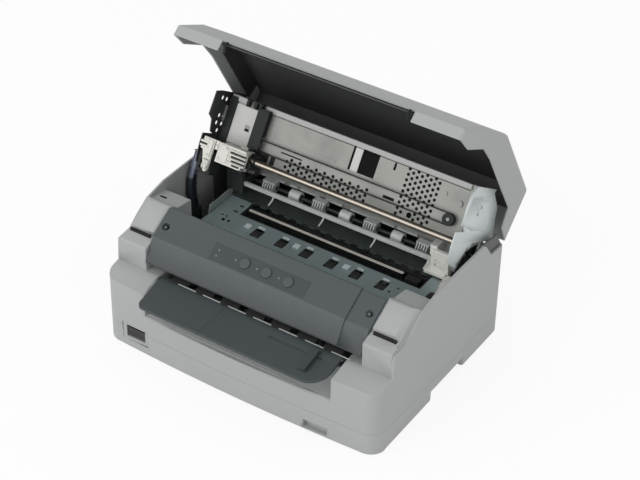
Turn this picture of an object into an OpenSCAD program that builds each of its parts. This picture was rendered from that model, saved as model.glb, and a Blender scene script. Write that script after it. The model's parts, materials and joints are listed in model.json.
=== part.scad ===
// Flatbed dot matrix printer with its cover open and its print unit raised.
// X runs to the right along the front, Y to the rear and Z up. The origin lies on the desk,
// under the middle of the whole object's box. Lengths are millimetres.
// Places are written for the closed printer; the cover and the print unit are then turned open.

/* [Case] */
// Width of the case
case_w = 384; // [378:1:392]
// Depth of the case, without the tray
case_d = 280; // [276:1:288]
// Height with the cover closed
case_h = 203; // [203:0.5:208]
// Thickness of the grey plastic walls
wall = 3; // [2.6:0.2:3.2]
// How far the front face bows out at its middle
front_bow = 6; // [4:0.5:8]
// Radius of the two upright front corners
corner_r = 20; // [14:1:24]
// Height of the line between the lower and the upper case
parting_z = 31; // [26:1:34]
// Height of the desk gap that the rubber feet leave
foot_gap = 2; // [1:0.5:4]
// Radius of a rubber foot
foot_r = 8; // [6:0.5:10]

/* [Cover] */
// Angle by which the cover stands open
cover_open = 60.4; // [52:0.2:62]
// Thickness of the dark lining
liner_t = 2; // [1.4:0.2:2.4]
// Half the width of the gap in the cover's front lip
lip_gap_half = 128; // [110:1:140]
// Height of the felt strip
felt_t = 2; // [1:0.2:2.6]

/* [Panel and tray] */
// Width of each grey block beside the control panel
block_w = 42; // [38:1:46]
// Thickness of the control panel
panel_t = 2.5; // [2:0.1:3]
// Radius of a push button
button_r = 6.4; // [5:0.1:7]
// Distance between two push buttons
button_pitch = 29.8; // [24:0.2:34]
// Travel of a push button
button_travel = 1.2; // [0.8:0.1:1.6]
// Half the width of the front tray
tray_half = 127; // [115:1:129]
// Thickness of the front tray
tray_t = 3; // [2.4:0.2:3.4]

/* [Paper path] */
// Height of the paper table
table_z = 110; // [108:0.5:112]
// Thickness of the steel sheets
sheet_t = 1.2; // [1:0.1:1.6]
// Number of windows in the table
window_count = 6; // [4:1:6]
// Distance between two windows
window_pitch = 35.25; // [34:0.25:36]
// Radius of a feed roller
feed_r = 9; // [8.4:0.1:9.2]
// Radius of a pressure roller
press_r = 7.2; // [6:0.1:7.2]
// Distance between the pressure rollers and their combs
press_pitch = 36.6; // [34:0.2:37]
// Radius of the roller shafts
roller_shaft_r = 3; // [2.5:0.1:3.5]

/* [Print unit] */
// Angle by which the print unit stands raised
unit_open = 33; // [29:0.5:33]
// Thickness of the print unit's steel side plates
unit_plate_t = 1.6; // [1.2:0.1:2]
// Radius of the carriage shaft
carriage_shaft_r = 4; // [3.4:0.1:4.4]
// Radius of a vent hole in the back plate
vent_r = 1.5; // [1.2:0.1:1.7]
// Distance between two vent holes
vent_pitch = 6.8; // [6:0.2:7]
// Radius of the belt pulleys
pulley_r = 6; // [5:0.2:6.6]

/* [Gears] */
// Size of a gear tooth: pitch diameter divided by the number of teeth
gear_module = 1; // [0.9:0.05:1]
// Width of the gears
gear_w = 8; // [6:0.5:9]

/* [Hidden] */
$fn = 48;

// Clearances: between parts that only lie beside each other, and round a shaft in its bore
gap = 0.3;
running = 0.05;

// Places were measured on a printer 384 wide, 280 deep and 203 high. Points keep their distance from
// the front, the rear or the side face, and places along the paper's width spread with the case.
function front(y) = y - (case_d - 280) / 2;
function back(y) = y + (case_d - 280) / 2;
function beside(x) = x + sign(x) * (case_w - 384) / 2;
function across(x) = x * (case_w / 2 - 62) / 130;

half_w = case_w / 2;
rear_y = case_d / 2;
front_y = -case_d / 2;
opening_half = half_w - block_w;

// Hinge axis shared by the cover and the print unit
hinge_y = back(138);
hinge_z = 133;
hinge_pin_r = 2;
hinge_lug_r = 4;
lug_x0 = half_w - 37;
lug_x1 = half_w - 29;

// Side walls
wall_top_z = 161;
rear_wall_z = 133;

// Heights above the hinge grow with the room under the cover
function up(z) = hinge_z + (z - hinge_z) * (case_h - hinge_z) / 70;
lap = 0.6;
inner_wall_x = half_w - wall - lap;

// Print unit and lower frame
plate_x = half_w - 15.2;
frame_x = half_w - 44;
table_right_x = half_w - 34;

// Distance from the middle of the case to the origin, so that the origin is under the box's middle
function turned(y, z, angle) = [(y - hinge_y) * cos(angle) + (z - hinge_z) * sin(angle) + hinge_y,
    -(y - hinge_y) * sin(angle) + (z - hinge_z) * cos(angle) + hinge_z];
tray_front_y = front(-156);
rear_reach = turned(back(122), case_h, cover_open)[0];
origin_y = (tray_front_y + rear_reach) / 2;

// Colours
grey = [0.62, 0.63, 0.63];
panel_grey = [0.30, 0.33, 0.36];
tray_grey = [0.20, 0.22, 0.24];
dark = [0.10, 0.10, 0.11];
steel = [0.74, 0.75, 0.76];
table_grey = [0.42, 0.48, 0.50];
white_plastic = [0.86, 0.86, 0.84];

// ---- helpers ----

// Moves a piece from the case's middle to the origin
module placed() translate([0, -origin_y, 0]) children();

// Turns a piece from the closed place to its open place about the hinge
module opened(angle) translate([0, hinge_y, hinge_z]) rotate([-angle, 0, 0])
    translate([0, -hinge_y, -hinge_z]) children();

// A (Y, Z) outline carried along X
module along_x(points, x0, x1) translate([x0, 0, 0]) rotate([90, 0, 90])
    linear_extrude(x1 - x0) polygon(points);

// A box between two corners
module box(low, high) translate(low) cube(high - low);

// A round bar along X, Y or Z from one end
module bar_x(y, z, r, x0, x1) translate([x0, y, z]) rotate([0, 90, 0]) cylinder(r = r, h = x1 - x0);
module bar_y(x, z, r, y0, y1) translate([x, y1, z]) rotate([90, 0, 0]) cylinder(r = r, h = y1 - y0);
module bar_z(x, y, r, z0, z1) translate([x, y, z0]) cylinder(r = r, h = z1 - z0);

// Both the shape and its mirror image on the other side
module both_sides() {
    children();
    mirror([1, 0, 0]) children();
}

// An outline drawn in by t: each edge moves inwards and the corners are where the edges meet.
// The outline's points run anticlockwise.
function edge_normal(a, b) = [a[1] - b[1], b[0] - a[0]] / norm(b - a);
function meet(p, d, q, e) = p + d * (((q - p)[0] * e[1] - (q - p)[1] * e[0]) / (d[0] * e[1] - d[1] * e[0]));
function inset(points, t) = let (n = len(points)) [for (i = [0 : n - 1])
    let (a = points[(i + n - 1) % n], b = points[i], c = points[(i + 1) % n],
        m = edge_normal(a, b) * t, k = edge_normal(b, c) * t)
    meet(a + m, b - a, b + k, c - b)];

// A bent sheet of thickness t: its line of (Y, Z) points, and the same line moved to its left
function moved_point(p, i, t) = i == 0 ? p[0] + edge_normal(p[0], p[1]) * t
    : i == len(p) - 1 ? p[i] + edge_normal(p[i - 1], p[i]) * t
    : meet(p[i - 1] + edge_normal(p[i - 1], p[i]) * t, p[i] - p[i - 1],
        p[i] + edge_normal(p[i], p[i + 1]) * t, p[i + 1] - p[i]);
function sheet(p, t) = concat(p, [for (i = [len(p) - 1 : -1 : 0]) moved_point(p, i, t)]);

// ---- case ----

// The case seen from above, drawn in by t: a rectangle with round corners and a bowed front
rear_corner_r = 7;
bow_r = (half_w * half_w + front_bow * front_bow) / (2 * front_bow);
corner_x = half_w - corner_r;
corner_y = front_y + corner_r + front_bow * (corner_x / half_w) * (corner_x / half_w);
rear_corner_x = half_w - rear_corner_r;
rear_corner_y = rear_y - rear_corner_r;
module footprint(t = 0) intersection() {
    translate([0, front_y + bow_r]) circle(r = bow_r - t, $fn = 256);
    union() {
        translate([-corner_x, front_y - 1]) square([2 * corner_x, rear_corner_y - front_y + 1]);
        translate([-half_w + t, corner_y]) square([2 * (half_w - t), rear_corner_y - corner_y]);
        translate([-rear_corner_x, rear_corner_y - 1])
            square([2 * rear_corner_x, rear_corner_r + 1 - t]);
        for (side = [-1, 1]) {
            translate([side * corner_x, corner_y]) circle(r = corner_r - t);
            translate([side * rear_corner_x, rear_corner_y]) circle(r = rear_corner_r - t);
        }
    }
}

module column(t, z0, z1) translate([0, 0, z0]) linear_extrude(z1 - z0) footprint(t);

// Hand grips under the two sides
grip_y0 = back(-15);
grip_y1 = back(56);
grip_h = 12;
grip_depth = 16;
floor_z = foot_gap + wall;
frame_foot_h = 3;
base_z = floor_z + frame_foot_h;
foot_x = half_w - 30;
foot_front_y = front(-100);
foot_rear_y = back(112);
foot_h = foot_gap + 1.6;
notch_x0 = across(94);
notch_x1 = notch_x0 + 32;
notch_z0 = 3.6;
notch_z1 = 14;

module lower_case() color(grey) placed() difference() {
    union() {
        difference() {
            column(0, foot_gap, parting_z - gap / 2);
            column(wall, floor_z, parting_z + 1);
        }
        both_sides() box([half_w - grip_depth - wall, grip_y0 - wall, foot_gap],
            [half_w - wall / 2, grip_y1 + wall, foot_gap + grip_h + wall]);
        for (x = [-foot_x, foot_x], y = [foot_front_y, foot_rear_y])
            bar_z(x, y, foot_r, foot_gap, base_z);
        box([notch_x0 - wall, front_y + wall, foot_gap],
            [notch_x1 + wall, front_y + 4 * wall, notch_z1 + wall]);
    }
    both_sides() box([half_w - grip_depth, grip_y0, foot_gap - 1],
        [half_w + 1, grip_y1, foot_gap + grip_h]);
    for (x = [-foot_x, foot_x], y = [foot_front_y, foot_rear_y])
        bar_z(x, y, foot_r, 0, foot_h);
    box([notch_x0, front_y - 1, notch_z0], [notch_x1, front_y + 3 * wall, notch_z1]);
    switch_opening();
}

module rubber_feet() color(dark) placed()
    for (x = [-foot_x, foot_x], y = [foot_front_y, foot_rear_y])
        bar_z(x, y, foot_r - running, 0, foot_h);

// Outlines of the grey blocks: the wide lower block and the block beside the panel.
// A block's cavity has the same outline, let out by open_side where the block has no wall.
open_side = 60;
lower_block_half = tray_half + 3;
ledge_z = 99;
function lower_block(out = 0) = [[front(-150), parting_z - out], [front(-75) + out, parting_z - out],
    [front(-75) + out, ledge_z], [front(-106), ledge_z], [front(-127), 94.5], [front(-150), 89]];
function upper_block(out = 0) = [[front(-105), 92 - out], [front(-15) + out, 92 - out],
    [front(-15) + out, 148], [front(-41), 152], [front(-52), 161], [front(-85.5), 142],
    [front(-85.5), 136.5], [front(-103.5), 131], [front(-105), 129]];

// The side wall's outline, and the layer further in behind the cover's edge
SIDE_WALL = [[front(-150), parting_z], [rear_y + 2, parting_z], [rear_y + 2, rear_wall_z],
    [back(110), 136], [back(95.5), 156], [back(90), 160], [back(40), wall_top_z],
    [front(-16), wall_top_z], [front(-47), 155], [front(-66), 143.5], [front(-82.5), 131],
    [front(-104), 129], [front(-106), ledge_z], [front(-127), 94.5], [front(-150), 88]];
HINGE_WALL = [[back(80), parting_z + gap / 2], [rear_y - 1, parting_z + gap / 2], [rear_y - 1, 132],
    [back(126), 154], [back(118), 154], [back(90), 159], [back(80), 159]];

// Switch place in the left front wall
switch_x = beside(-146.5);
switch_z = 24;
switch_w = 27;
switch_h = 17;
switch_plate_w = 38;
switch_plate_h = 25;
module switch_opening() box([switch_x - switch_plate_w / 2, front_y - 4, switch_z - switch_plate_h / 2],
    [switch_x + switch_plate_w / 2, front_y + 8 * wall, switch_z + switch_plate_h / 2]);

// Scoop in the front under the tray
scoop_z = 59;
scoop_r = 32;
tray_back_z = 100.6;
tray_front_z = 91;

// Notches in the rear wall for the cover's lugs and the print unit's plates
hinge_notch_x0 = lug_x0 - 4;
hinge_notch_x1 = plate_x + 4;
hinge_notch_z = 124;

// Bevel along the outer top edge of a grey block
bevel_w = 7;
block_slope = atan2(19, 33.5);
bevel_turn = 40;

module block(points, x0, x1, t) intersection() {
    column(t, parting_z + gap / 2 - (t > 0 ? open_side : 0), wall_top_z + 1);
    along_x(points, x0, x1);
}

// The panel's outline: its low front edge, its bend and its top edge
PANEL_LINE = [[front(-55.5), 163], [front(-91.5), 141], [front(-107), 114]];
panel_slope = atan2(163 - 141, 36);
panel_half = opening_half - gap;
screw_y = front(-76.5);
screw_x = panel_half - 9;
function panel_z(y) = 141 + (y - front(-91.5)) * tan(panel_slope);
slot_top_z = table_z + 1.8;

module upper_case() color(grey) placed() difference() {
    union() {
        difference() {
            intersection() {
                column(0, parting_z + gap / 2, wall_top_z);
                along_x(SIDE_WALL, -half_w - 2, half_w + 2);
            }
            column(wall, parting_z - 1, wall_top_z + 1);
            box([-lower_block_half, front_y - 1, scoop_z], [lower_block_half, front(-60), wall_top_z + 1]);
        }
        both_sides() block(lower_block(), lower_block_half, half_w, 0);
        both_sides() block(upper_block(), opening_half, inner_wall_x, 0);
        both_sides() intersection() {
            block(upper_block(), opening_half, half_w, 0);
            along_x(SIDE_WALL, opening_half, half_w);
        }
        both_sides() along_x(HINGE_WALL, inner_wall_x - wall, inner_wall_x);
        both_sides() box([inner_wall_x - 1, back(80), parting_z + gap / 2],
            [half_w - wall + 1, rear_y - wall - 4, rear_wall_z - 2]);
        scoop();
    }
    both_sides() block(inset(lower_block(open_side), wall), lower_block_half + wall, half_w - wall, wall);
    both_sides() block(inset(upper_block(open_side), wall), opening_half + wall, inner_wall_x - wall, wall);
    both_sides() translate([inner_wall_x, front(-52), wall_top_z - bevel_w]) rotate([block_slope, 0, 0])
        rotate([0, -bevel_turn, 0]) translate([0, -45, 0]) cube([3 * bevel_w, 62, 3 * bevel_w]);
    both_sides() box([hinge_notch_x0, rear_y - 12, hinge_notch_z], [hinge_notch_x1, rear_y + 1, wall_top_z]);
    seal_grooves();
    switch_opening();
    rear_openings();
}

// The scoop's curved sheet runs from the front wall back and up to the tray
scoop_y = front(-142);
scoop_top = tray_front_z - 3;
module scoop() intersection() {
    column(0, scoop_z - 12, scoop_top);
    difference() {
        bar_x(scoop_y, scoop_z + scoop_r, scoop_r + wall, -lower_block_half - 1, lower_block_half + 1);
        bar_x(scoop_y, scoop_z + scoop_r, scoop_r, -lower_block_half - 2, lower_block_half + 2);
        box([-half_w, front_y - 30, 0], [half_w, scoop_y, case_h]);
    }
}

// Openings in the rear wall for the inlet, the sockets and the air
inlet_x = beside(120);
inlet_z = 52;
inlet_w = 28;
inlet_h = 21;
socket_x = [beside(-60), beside(-112)];
socket_z = 52;
socket_w = [58, 22];
socket_h = 14;
vent_slots = 9;
vent_slot_pitch = 8;
vent_slot_w = 4;
module rear_openings() {
    box([inlet_x - inlet_w / 2, rear_y - 2 * wall, inlet_z - inlet_h / 2],
        [inlet_x + inlet_w / 2, rear_y + 1, inlet_z + inlet_h / 2]);
    for (i = [0, 1]) box([socket_x[i] - socket_w[i] / 2, rear_y - 2 * wall, socket_z - socket_h / 2],
        [socket_x[i] + socket_w[i] / 2, rear_y + 1, socket_z + socket_h / 2]);
    for (i = [0 : vent_slots - 1]) let (x = (i - (vent_slots - 1) / 2) * vent_slot_pitch)
        box([x - vent_slot_w / 2, rear_y - 2 * wall, 84], [x + vent_slot_w / 2, rear_y + 1, 112]);
}

// Foam strips lie in grooves across the blocks, at the foot of their slopes
groove_x0 = opening_half + 4;
groove_x1 = inner_wall_x - 4;
groove_w = 3;
groove_depth = 2;
module seal_grooves() both_sides() box([groove_x0, front(-90.2), 135 - groove_depth],
    [groove_x1, front(-90.2) + groove_w, 140]);
module seal_strips() color(dark) placed() both_sides()
    box([groove_x0 + gap, front(-90.2) + gap, 135 - groove_depth],
        [groove_x1 - gap, front(-90.2) + groove_w - gap, 139]);

// ---- panel ----

// Something standing square on the panel's slope at (x, y), its own origin on the slope
module on_panel(x, y) translate([x, y, panel_z(y)]) rotate([panel_slope, 0, 0]) children();

inlay_t = 0.6;
inlay_x0 = -71;
inlay_x1 = 60;
button_x0 = -25;
button_y = front(-80);
button_h = 1.8;
button_flange = 2.2;
function button_x(i) = button_x0 + i * button_pitch;
lamp_r = 1.2;
LAMPS = [[-63, front(-77.5)], [-63, front(-84)], [button_x(0) - 13, button_y], [button_x(1) - 13.3, button_y],
    [button_x(2) - 13, button_y]];
face_step = 2.4;
face_x1 = beside(118);
pocket_r = 4.5;
screw_r = 2.6;

module panel_skin(x0, x1, drop) along_x(sheet([for (p = PANEL_LINE) p - [0, drop]], panel_t), x0, x1);

module control_panel() color(panel_grey) placed() difference() {
    union() {
        panel_skin(-panel_half, panel_half, face_step);
        along_x(sheet(PANEL_LINE, panel_t + face_step * cos(panel_slope)), -panel_half, face_x1);
        both_sides() on_panel(screw_x, screw_y) translate([0, 0, -face_step - panel_t])
            cylinder(r = pocket_r + 1.5, h = panel_t);
    }
    box([-half_w, front(-115), table_z - 10], [half_w, front(-95), slot_top_z]);
    panel_inlay_body(gap / 3);
    for (i = [0 : 2]) on_panel(button_x(i), button_y)
        translate([0, 0, -20]) cylinder(r = button_r + gap, h = 30);
    for (p = LAMPS) on_panel(p[0], p[1]) translate([0, 0, -20]) cylinder(r = lamp_r + running, h = 30);
    for (side = [-1, 1]) on_panel(side * screw_x, screw_y) {
        translate([0, 0, -20]) cylinder(r = screw_r / 2 + gap, h = 30);
        translate([0, 0, -face_step - 1.2]) cylinder(r = pocket_r, h = 10);
    }
}

inlay_l = 21;
module panel_inlay_body(grow) on_panel(0, button_y)
    translate([inlay_x0 - grow, -inlay_l / 2 - grow, -inlay_t])
    cube([inlay_x1 - inlay_x0 + 2 * grow, inlay_l + 2 * grow, inlay_t + 0.01]);

module panel_inlay() color([0.24, 0.26, 0.29]) placed() difference() {
    panel_inlay_body(0);
    for (i = [0 : 2]) on_panel(button_x(i), button_y)
        translate([0, 0, -5]) cylinder(r = button_r + gap, h = 10);
    for (p = LAMPS) on_panel(p[0], p[1]) translate([0, 0, -5]) cylinder(r = lamp_r + running, h = 10);
}

module status_lamps() color([0.75, 0.78, 0.72]) placed() for (p = LAMPS) on_panel(p[0], p[1])
    translate([0, 0, -panel_t - face_step]) cylinder(r = lamp_r, h = panel_t + face_step + 0.3);

module panel_screws() color(steel) placed() for (side = [-1, 1]) on_panel(side * screw_x, screw_y)
    translate([0, 0, -face_step - 1.2]) {
        cylinder(r = screw_r, h = 1.4);
        translate([0, 0, -panel_t - 3]) cylinder(r = screw_r / 2, h = panel_t + 3.1);
    }

// A push button: its cap stands above the inlay and a wider flange holds it under the panel
module push_button(i) color([0.36, 0.38, 0.41]) placed() on_panel(button_x(i), button_y) {
    translate([0, 0, -panel_t - face_step - 1])
        cylinder(r = button_r, h = panel_t + face_step + 1 + button_h);
    translate([0, 0, -panel_t - face_step - 1 - button_flange])
        cylinder(r = button_r + 1.5, h = button_flange);
}
module push_button_left() push_button(0);
module push_button_middle() push_button(1);
module push_button_right() push_button(2);

// ---- tray ----

tray_back_y = front(-109);
tray_slope = atan2(tray_back_z - tray_front_z, tray_back_y - tray_front_y);
tray_corner_r = 26;
tray_small_r = 9;
guide_x = tray_half - 31;
function tray_z(y) = tray_back_z + (y - tray_back_y) * tan(tray_slope);
TRAY_LINE = [[tray_back_y + 6, 101], [tray_back_y, tray_back_z], [tray_front_y, tray_front_z]];
groove_half = 60;
guide_groove_w = 2.4;
guide_groove_y = tray_back_y - 12;

module tray_outline() {
    difference() {
        translate([-tray_half, tray_front_y]) square([2 * tray_half, tray_back_y + 6 - tray_front_y]);
        translate([tray_half - tray_corner_r, tray_front_y]) square([tray_corner_r, tray_corner_r]);
        translate([-tray_half, tray_front_y]) square([tray_small_r, tray_small_r]);
    }
    translate([tray_half - tray_corner_r, tray_front_y + tray_corner_r]) circle(r = tray_corner_r);
    translate([-tray_half + tray_small_r, tray_front_y + tray_small_r]) circle(r = tray_small_r);
}

module front_tray() color(tray_grey) placed() difference() {
    union() {
        // short tabs reach the blocks on both sides
        both_sides() box([tray_half - 1, tray_back_y - 3, tray_back_z - tray_t - 0.2],
            [lower_block_half - gap, tray_back_y + 5, tray_back_z - 0.8]);
        intersection() {
            linear_extrude(140) tray_outline();
            along_x(concat(TRAY_LINE, [[tray_front_y, tray_front_z - tray_t],
                [tray_back_y, tray_back_z - tray_t - 1], [tray_back_y + 6, 101 - tray_t - 1]]),
                -tray_half, tray_half);
        }
    }
    // the groove in which the edge guide slides
    translate([0, guide_groove_y, tray_z(guide_groove_y)]) rotate([tray_slope, 0, 0])
        translate([guide_x - groove_half, -guide_groove_w / 2, -1.2])
        cube([groove_half + 12, guide_groove_w, 3]);
}

// The paper edge guide: a low plate with a fence, and a key in the tray's groove
guide_l = 34;
guide_w = 11;
module edge_guide() color(dark) placed() translate([guide_x, tray_back_y, tray_back_z])
    rotate([tray_slope, 0, 0]) {
        translate([-guide_w / 2, -guide_l - 2, gap]) cube([guide_w, guide_l, 1.6]);
        translate([guide_w / 2 - 2.4, -guide_l - 2, gap]) cube([2.4, guide_l - 3, 6]);
        translate([-guide_w / 2 + 2, -12 - guide_groove_w / 2 + gap, -0.9])
            cube([guide_w - 4, guide_groove_w - 2 * gap, 2]);
    }

// Bright metal tabs that lead the paper from the tray into the slot
lip_pitch = across(35.5);
lip_w = 25;
lip_x0 = across(-101);
LIP_LINE = [[front(-88), table_z - 3.9], [front(-95), table_z - 5.25], [front(-101), 104],
    [front(-107.5), 102]];
module slot_lip() color(steel) placed() for (i = [0 : 6]) let (x = lip_x0 + i * lip_pitch)
    along_x(sheet(LIP_LINE, sheet_t), x - lip_w / 2, x + lip_w / 2);

// ---- table and lower frame ----

table_left_x = -frame_x + 0.6;
slot_y0 = back(36);
slot_y1 = back(64);
slot_x0 = beside(-116);
slot_x1 = beside(140);
window_x0 = -76.5;
window_w = 13;
window_l = 17;
window_y = back(17);
recess_w = 11;
tab_h = 1.5;
rear_table_y = back(112);
function window_x(i) = across(window_x0 + i * window_pitch);
function recess_x(i) = window_x(2 * i) - 16.5;
TABLE_LINE = [[slot_y1, table_z], [front(-62), table_z], [front(-95), 103.5]];

module paper_table() color(table_grey) placed() difference() {
    along_x(sheet(TABLE_LINE, sheet_t), table_left_x, table_right_x);
    box([slot_x0, slot_y0, table_z - 5], [slot_x1, slot_y1 + 1, table_z + 5]);
    for (i = [0 : window_count - 1]) box([window_x(i) - window_w / 2, window_y - window_l / 2, table_z - 5],
        [window_x(i) + window_w / 2, window_y + window_l / 2, table_z + 5]);
    for (i = [0 : 2]) box([recess_x(i) - recess_w / 2, window_y - window_l / 2 + 3, table_z - 0.5],
        [recess_x(i) + recess_w / 2, window_y + window_l / 2 + 1, table_z + 5]);
    box([opening_half - gap, front(-110), table_z - 15], [half_w, front(-14.5), table_z + 5]);
    for (p = [[-133, 25], [-127, 25], [146, 14], [148, 22]])
        bar_z(beside(p[0]), back(p[1]), 1.6, table_z - 5, table_z + 5);
    box([beside(-126), back(50), table_z - 5], [beside(-120), back(53), table_z + 5]);
}

module table_tabs() color(white_plastic) placed() {
    for (i = [0 : window_count - 1]) box([window_x(i) - 4.5, window_y + window_l / 2 + 0.2, table_z],
        [window_x(i) + 4.5, window_y + window_l / 2 + 3.4, table_z + tab_h]);
    for (i = [0 : 2]) box([recess_x(i) - 4, window_y + 1, table_z - 0.5],
        [recess_x(i) + 4, window_y + window_l / 2, table_z + tab_h]);
}

// The dark rear table has a toothed front edge and windows for the rear feed rollers
saw_pitch = 17.6;
saw_w = 9;
saw_depth = 3.5;
saw_count = floor((slot_x1 - slot_x0 - saw_w) / saw_pitch);
rear_feed_y = back(93);
rear_feed_z = 114 - feed_r;
press_count = 7;
press_x0 = -3 * press_pitch + 1.8;
function press_x(i) = across(press_x0 + i * press_pitch);
REAR_TABLE_LINE = [[rear_table_y, 112], [slot_y1 + 0.5, 112], [slot_y1 - saw_depth, 110.6]];
module rear_table() color(dark) placed() difference() {
    along_x(sheet(REAR_TABLE_LINE, sheet_t), table_left_x, table_right_x);
    for (i = [0 : saw_count]) let (x = slot_x0 + 4 + i * saw_pitch)
        box([x, slot_y1 - saw_depth - 1, 100], [x + saw_pitch - saw_w, slot_y1 - 0.5, 120]);
    box([table_left_x - 1, slot_y1 - saw_depth - 1, 100], [slot_x0 + gap, slot_y1 + 0.5, 120]);
    box([slot_x1 - gap, slot_y1 - saw_depth - 1, 100], [table_right_x + 1, slot_y1 + 0.5, 120]);
    for (i = [1, 3, 5]) box([press_x(i) - 9, rear_feed_y - feed_r - 0.5, 100],
        [press_x(i) + 9, rear_feed_y + feed_r + 0.5, 120]);
}

// A black channel lies in the slot and carries the bright platen bar
channel_t = 1.6;
channel_z = 98;
channel_y0 = slot_y0 + 1;
channel_y1 = slot_y1 - 6;
platen_y = back(48.5);
platen_w = 4.5;
platen_top = table_z + 2;
platen_half = beside(110);
module platen_channel() color(dark) placed() {
    difference() {
        box([slot_x0 + 0.6, channel_y0, channel_z], [slot_x1 - 0.6, channel_y1, table_z - 1.5]);
        box([slot_x0 + 0.6 + channel_t, channel_y0 + channel_t, channel_z + channel_t],
            [slot_x1 - 0.6 - channel_t, channel_y1 - channel_t, table_z]);
    }
    for (x = [-90, -30, 30, 90]) box([across(x) - 3, platen_y - 4.5, channel_z + channel_t],
        [across(x) + 3, platen_y + 4.5, channel_z + 5]);
    box([slot_x1 - 26, platen_y - 5, channel_z + channel_t], [slot_x1 - 8, platen_y + 5, table_z - 1]);
}
module platen_bar() color([0.8, 0.8, 0.79]) placed()
    box([-platen_half, platen_y - platen_w / 2, channel_z + 5],
        [platen_half, platen_y + platen_w / 2, platen_top]);

// Lower side frames: bent steel plates that stand on the base plate and carry the table and shafts
base_t = 1.5;
frame_t = 1.6;
frame_y0 = front(-61.5);
left_flange_z = table_z + 10;
front_feed_y = window_y;
front_feed_z = table_z + 0.6 - feed_r;
flange_y0 = back(16);
flange_y1 = back(67.7);
module frame_plate(top_points) difference() {
    along_x(concat([[frame_y0, base_z + base_t], [rear_table_y, base_z + base_t]], top_points), 0, frame_t);
    for (p = [[front_feed_y, front_feed_z], [rear_feed_y, rear_feed_z]])
        bar_x(p[0], p[1], roller_shaft_r + running, -1, frame_t + 1);
    for (y = [back(-30), back(54)]) bar_x(y, 55, 14, -1, frame_t + 1);
}
module left_frame() color(steel) placed() translate([-frame_x - frame_t, 0, 0]) {
    frame_plate([[rear_table_y, table_z - sheet_t], [flange_y1, table_z - sheet_t],
        [flange_y1, left_flange_z - 3],
        [flange_y1 - 6, left_flange_z], [flange_y0 + 4, left_flange_z], [flange_y0, left_flange_z - 14],
        [flange_y0 - 3, table_z - sheet_t], [frame_y0, table_z - sheet_t]]);
    box([frame_t - 0.5, frame_y0, base_z + base_t], [12, rear_table_y - 8, base_z + base_t + 2]);
}
module right_frame() color(steel) placed() translate([frame_x, 0, 0]) {
    difference() {
        frame_plate([[rear_table_y, table_z - sheet_t], [frame_y0, table_z - sheet_t]]);
        bar_x(pinion_y, pinion_z, motor_boss_r + gap, -1, frame_t + 1);
    }
    box([-12, frame_y0, base_z + base_t], [0.5, rear_table_y - 8, base_z + base_t + 2]);
}

// The base plate is screwed to the lower case and ties the frames together
base_half = half_w - 24;
module base_plate() color(steel) placed() {
    difference() {
        box([-base_half, front(-118), base_z], [base_half, back(126), base_z + base_t]);
        for (x = [-60, 0, 60]) box([across(x) - 22, back(-20), base_z - 1],
            [across(x) + 22, back(20), base_z + base_t + 1]);
    }
    // a cross beam closes the frame under the rear table
    box([-frame_x, rear_table_y - 6, base_z + base_t],
        [frame_x, rear_table_y - 6 + frame_t, table_z - sheet_t - 0.4]);
}

// ---- feed drive ----

gear_x0 = frame_x + frame_t + 10;
gear_teeth = 40;
idler_teeth = 36;
pinion_teeth = 18;
backlash = 0.16;
pressure_angle = 20;
gear_r = gear_module * gear_teeth / 2;
idler_r = gear_module * idler_teeth / 2;
pinion_r = gear_module * pinion_teeth / 2;
train_angle = atan2(rear_feed_z - front_feed_z, rear_feed_y - front_feed_y);
idler_y = (front_feed_y + rear_feed_y) / 2;
idler_z = (front_feed_z + rear_feed_z) / 2;
pinion_angle = -128;
pinion_y = front_feed_y + (gear_r + pinion_r + 0.05) * cos(pinion_angle);
pinion_z = front_feed_z + (gear_r + pinion_r + 0.05) * sin(pinion_angle);
motor_boss_r = 6;

// One tooth flank: the involute of the base circle, at radius r and measured from the tooth's middle
function involute_turn(r, base_r) = r <= base_r ? 0
    : let (t = sqrt(r * r / (base_r * base_r) - 1)) t * 180 / PI - atan(t);
function half_tooth(r, pitch_r, base_r, teeth) = 90 / teeth - backlash * 90 / (PI * pitch_r)
    + involute_turn(pitch_r, base_r) - involute_turn(r, base_r);
function flank_point(r, angle) = [r * cos(angle), r * sin(angle)];
module gear_2d(teeth) {
    pitch_r = gear_module * teeth / 2;
    base_r = pitch_r * cos(pressure_angle);
    radii = [pitch_r - 1.25 * gear_module, max(base_r, pitch_r - 1.1 * gear_module),
        pitch_r - 0.4 * gear_module,
        pitch_r + 0.2 * gear_module, pitch_r + 0.65 * gear_module, pitch_r + gear_module];
    polygon([for (k = [0 : teeth - 1]) for (side = [-1, 1]) for (j = [0 : 5])
        let (r = side < 0 ? radii[j] : radii[5 - j])
        flank_point(r, k * 360 / teeth + side * half_tooth(r, pitch_r, base_r, teeth))]);
}
// The turn of gear b that puts its gap on gear a's tooth, for b seen from a at angle phi
function mesh_turn(teeth_a, turn_a, teeth_b, phi) = phi + 180
    - (0.5 - (phi - turn_a) * teeth_a / 360) * 360 / teeth_b;
idler_turn = mesh_turn(gear_teeth, 0, idler_teeth, train_angle);
rear_gear_turn = mesh_turn(idler_teeth, idler_turn, gear_teeth, train_angle);
pinion_turn = mesh_turn(gear_teeth, 0, pinion_teeth, pinion_angle);

module gear(y, z, teeth, turn, bore_r) translate([gear_x0, y, z]) rotate([90, 0, 90])
    linear_extrude(gear_w) difference() {
        rotate(turn) gear_2d(teeth);
        circle(r = bore_r);
    }

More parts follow.
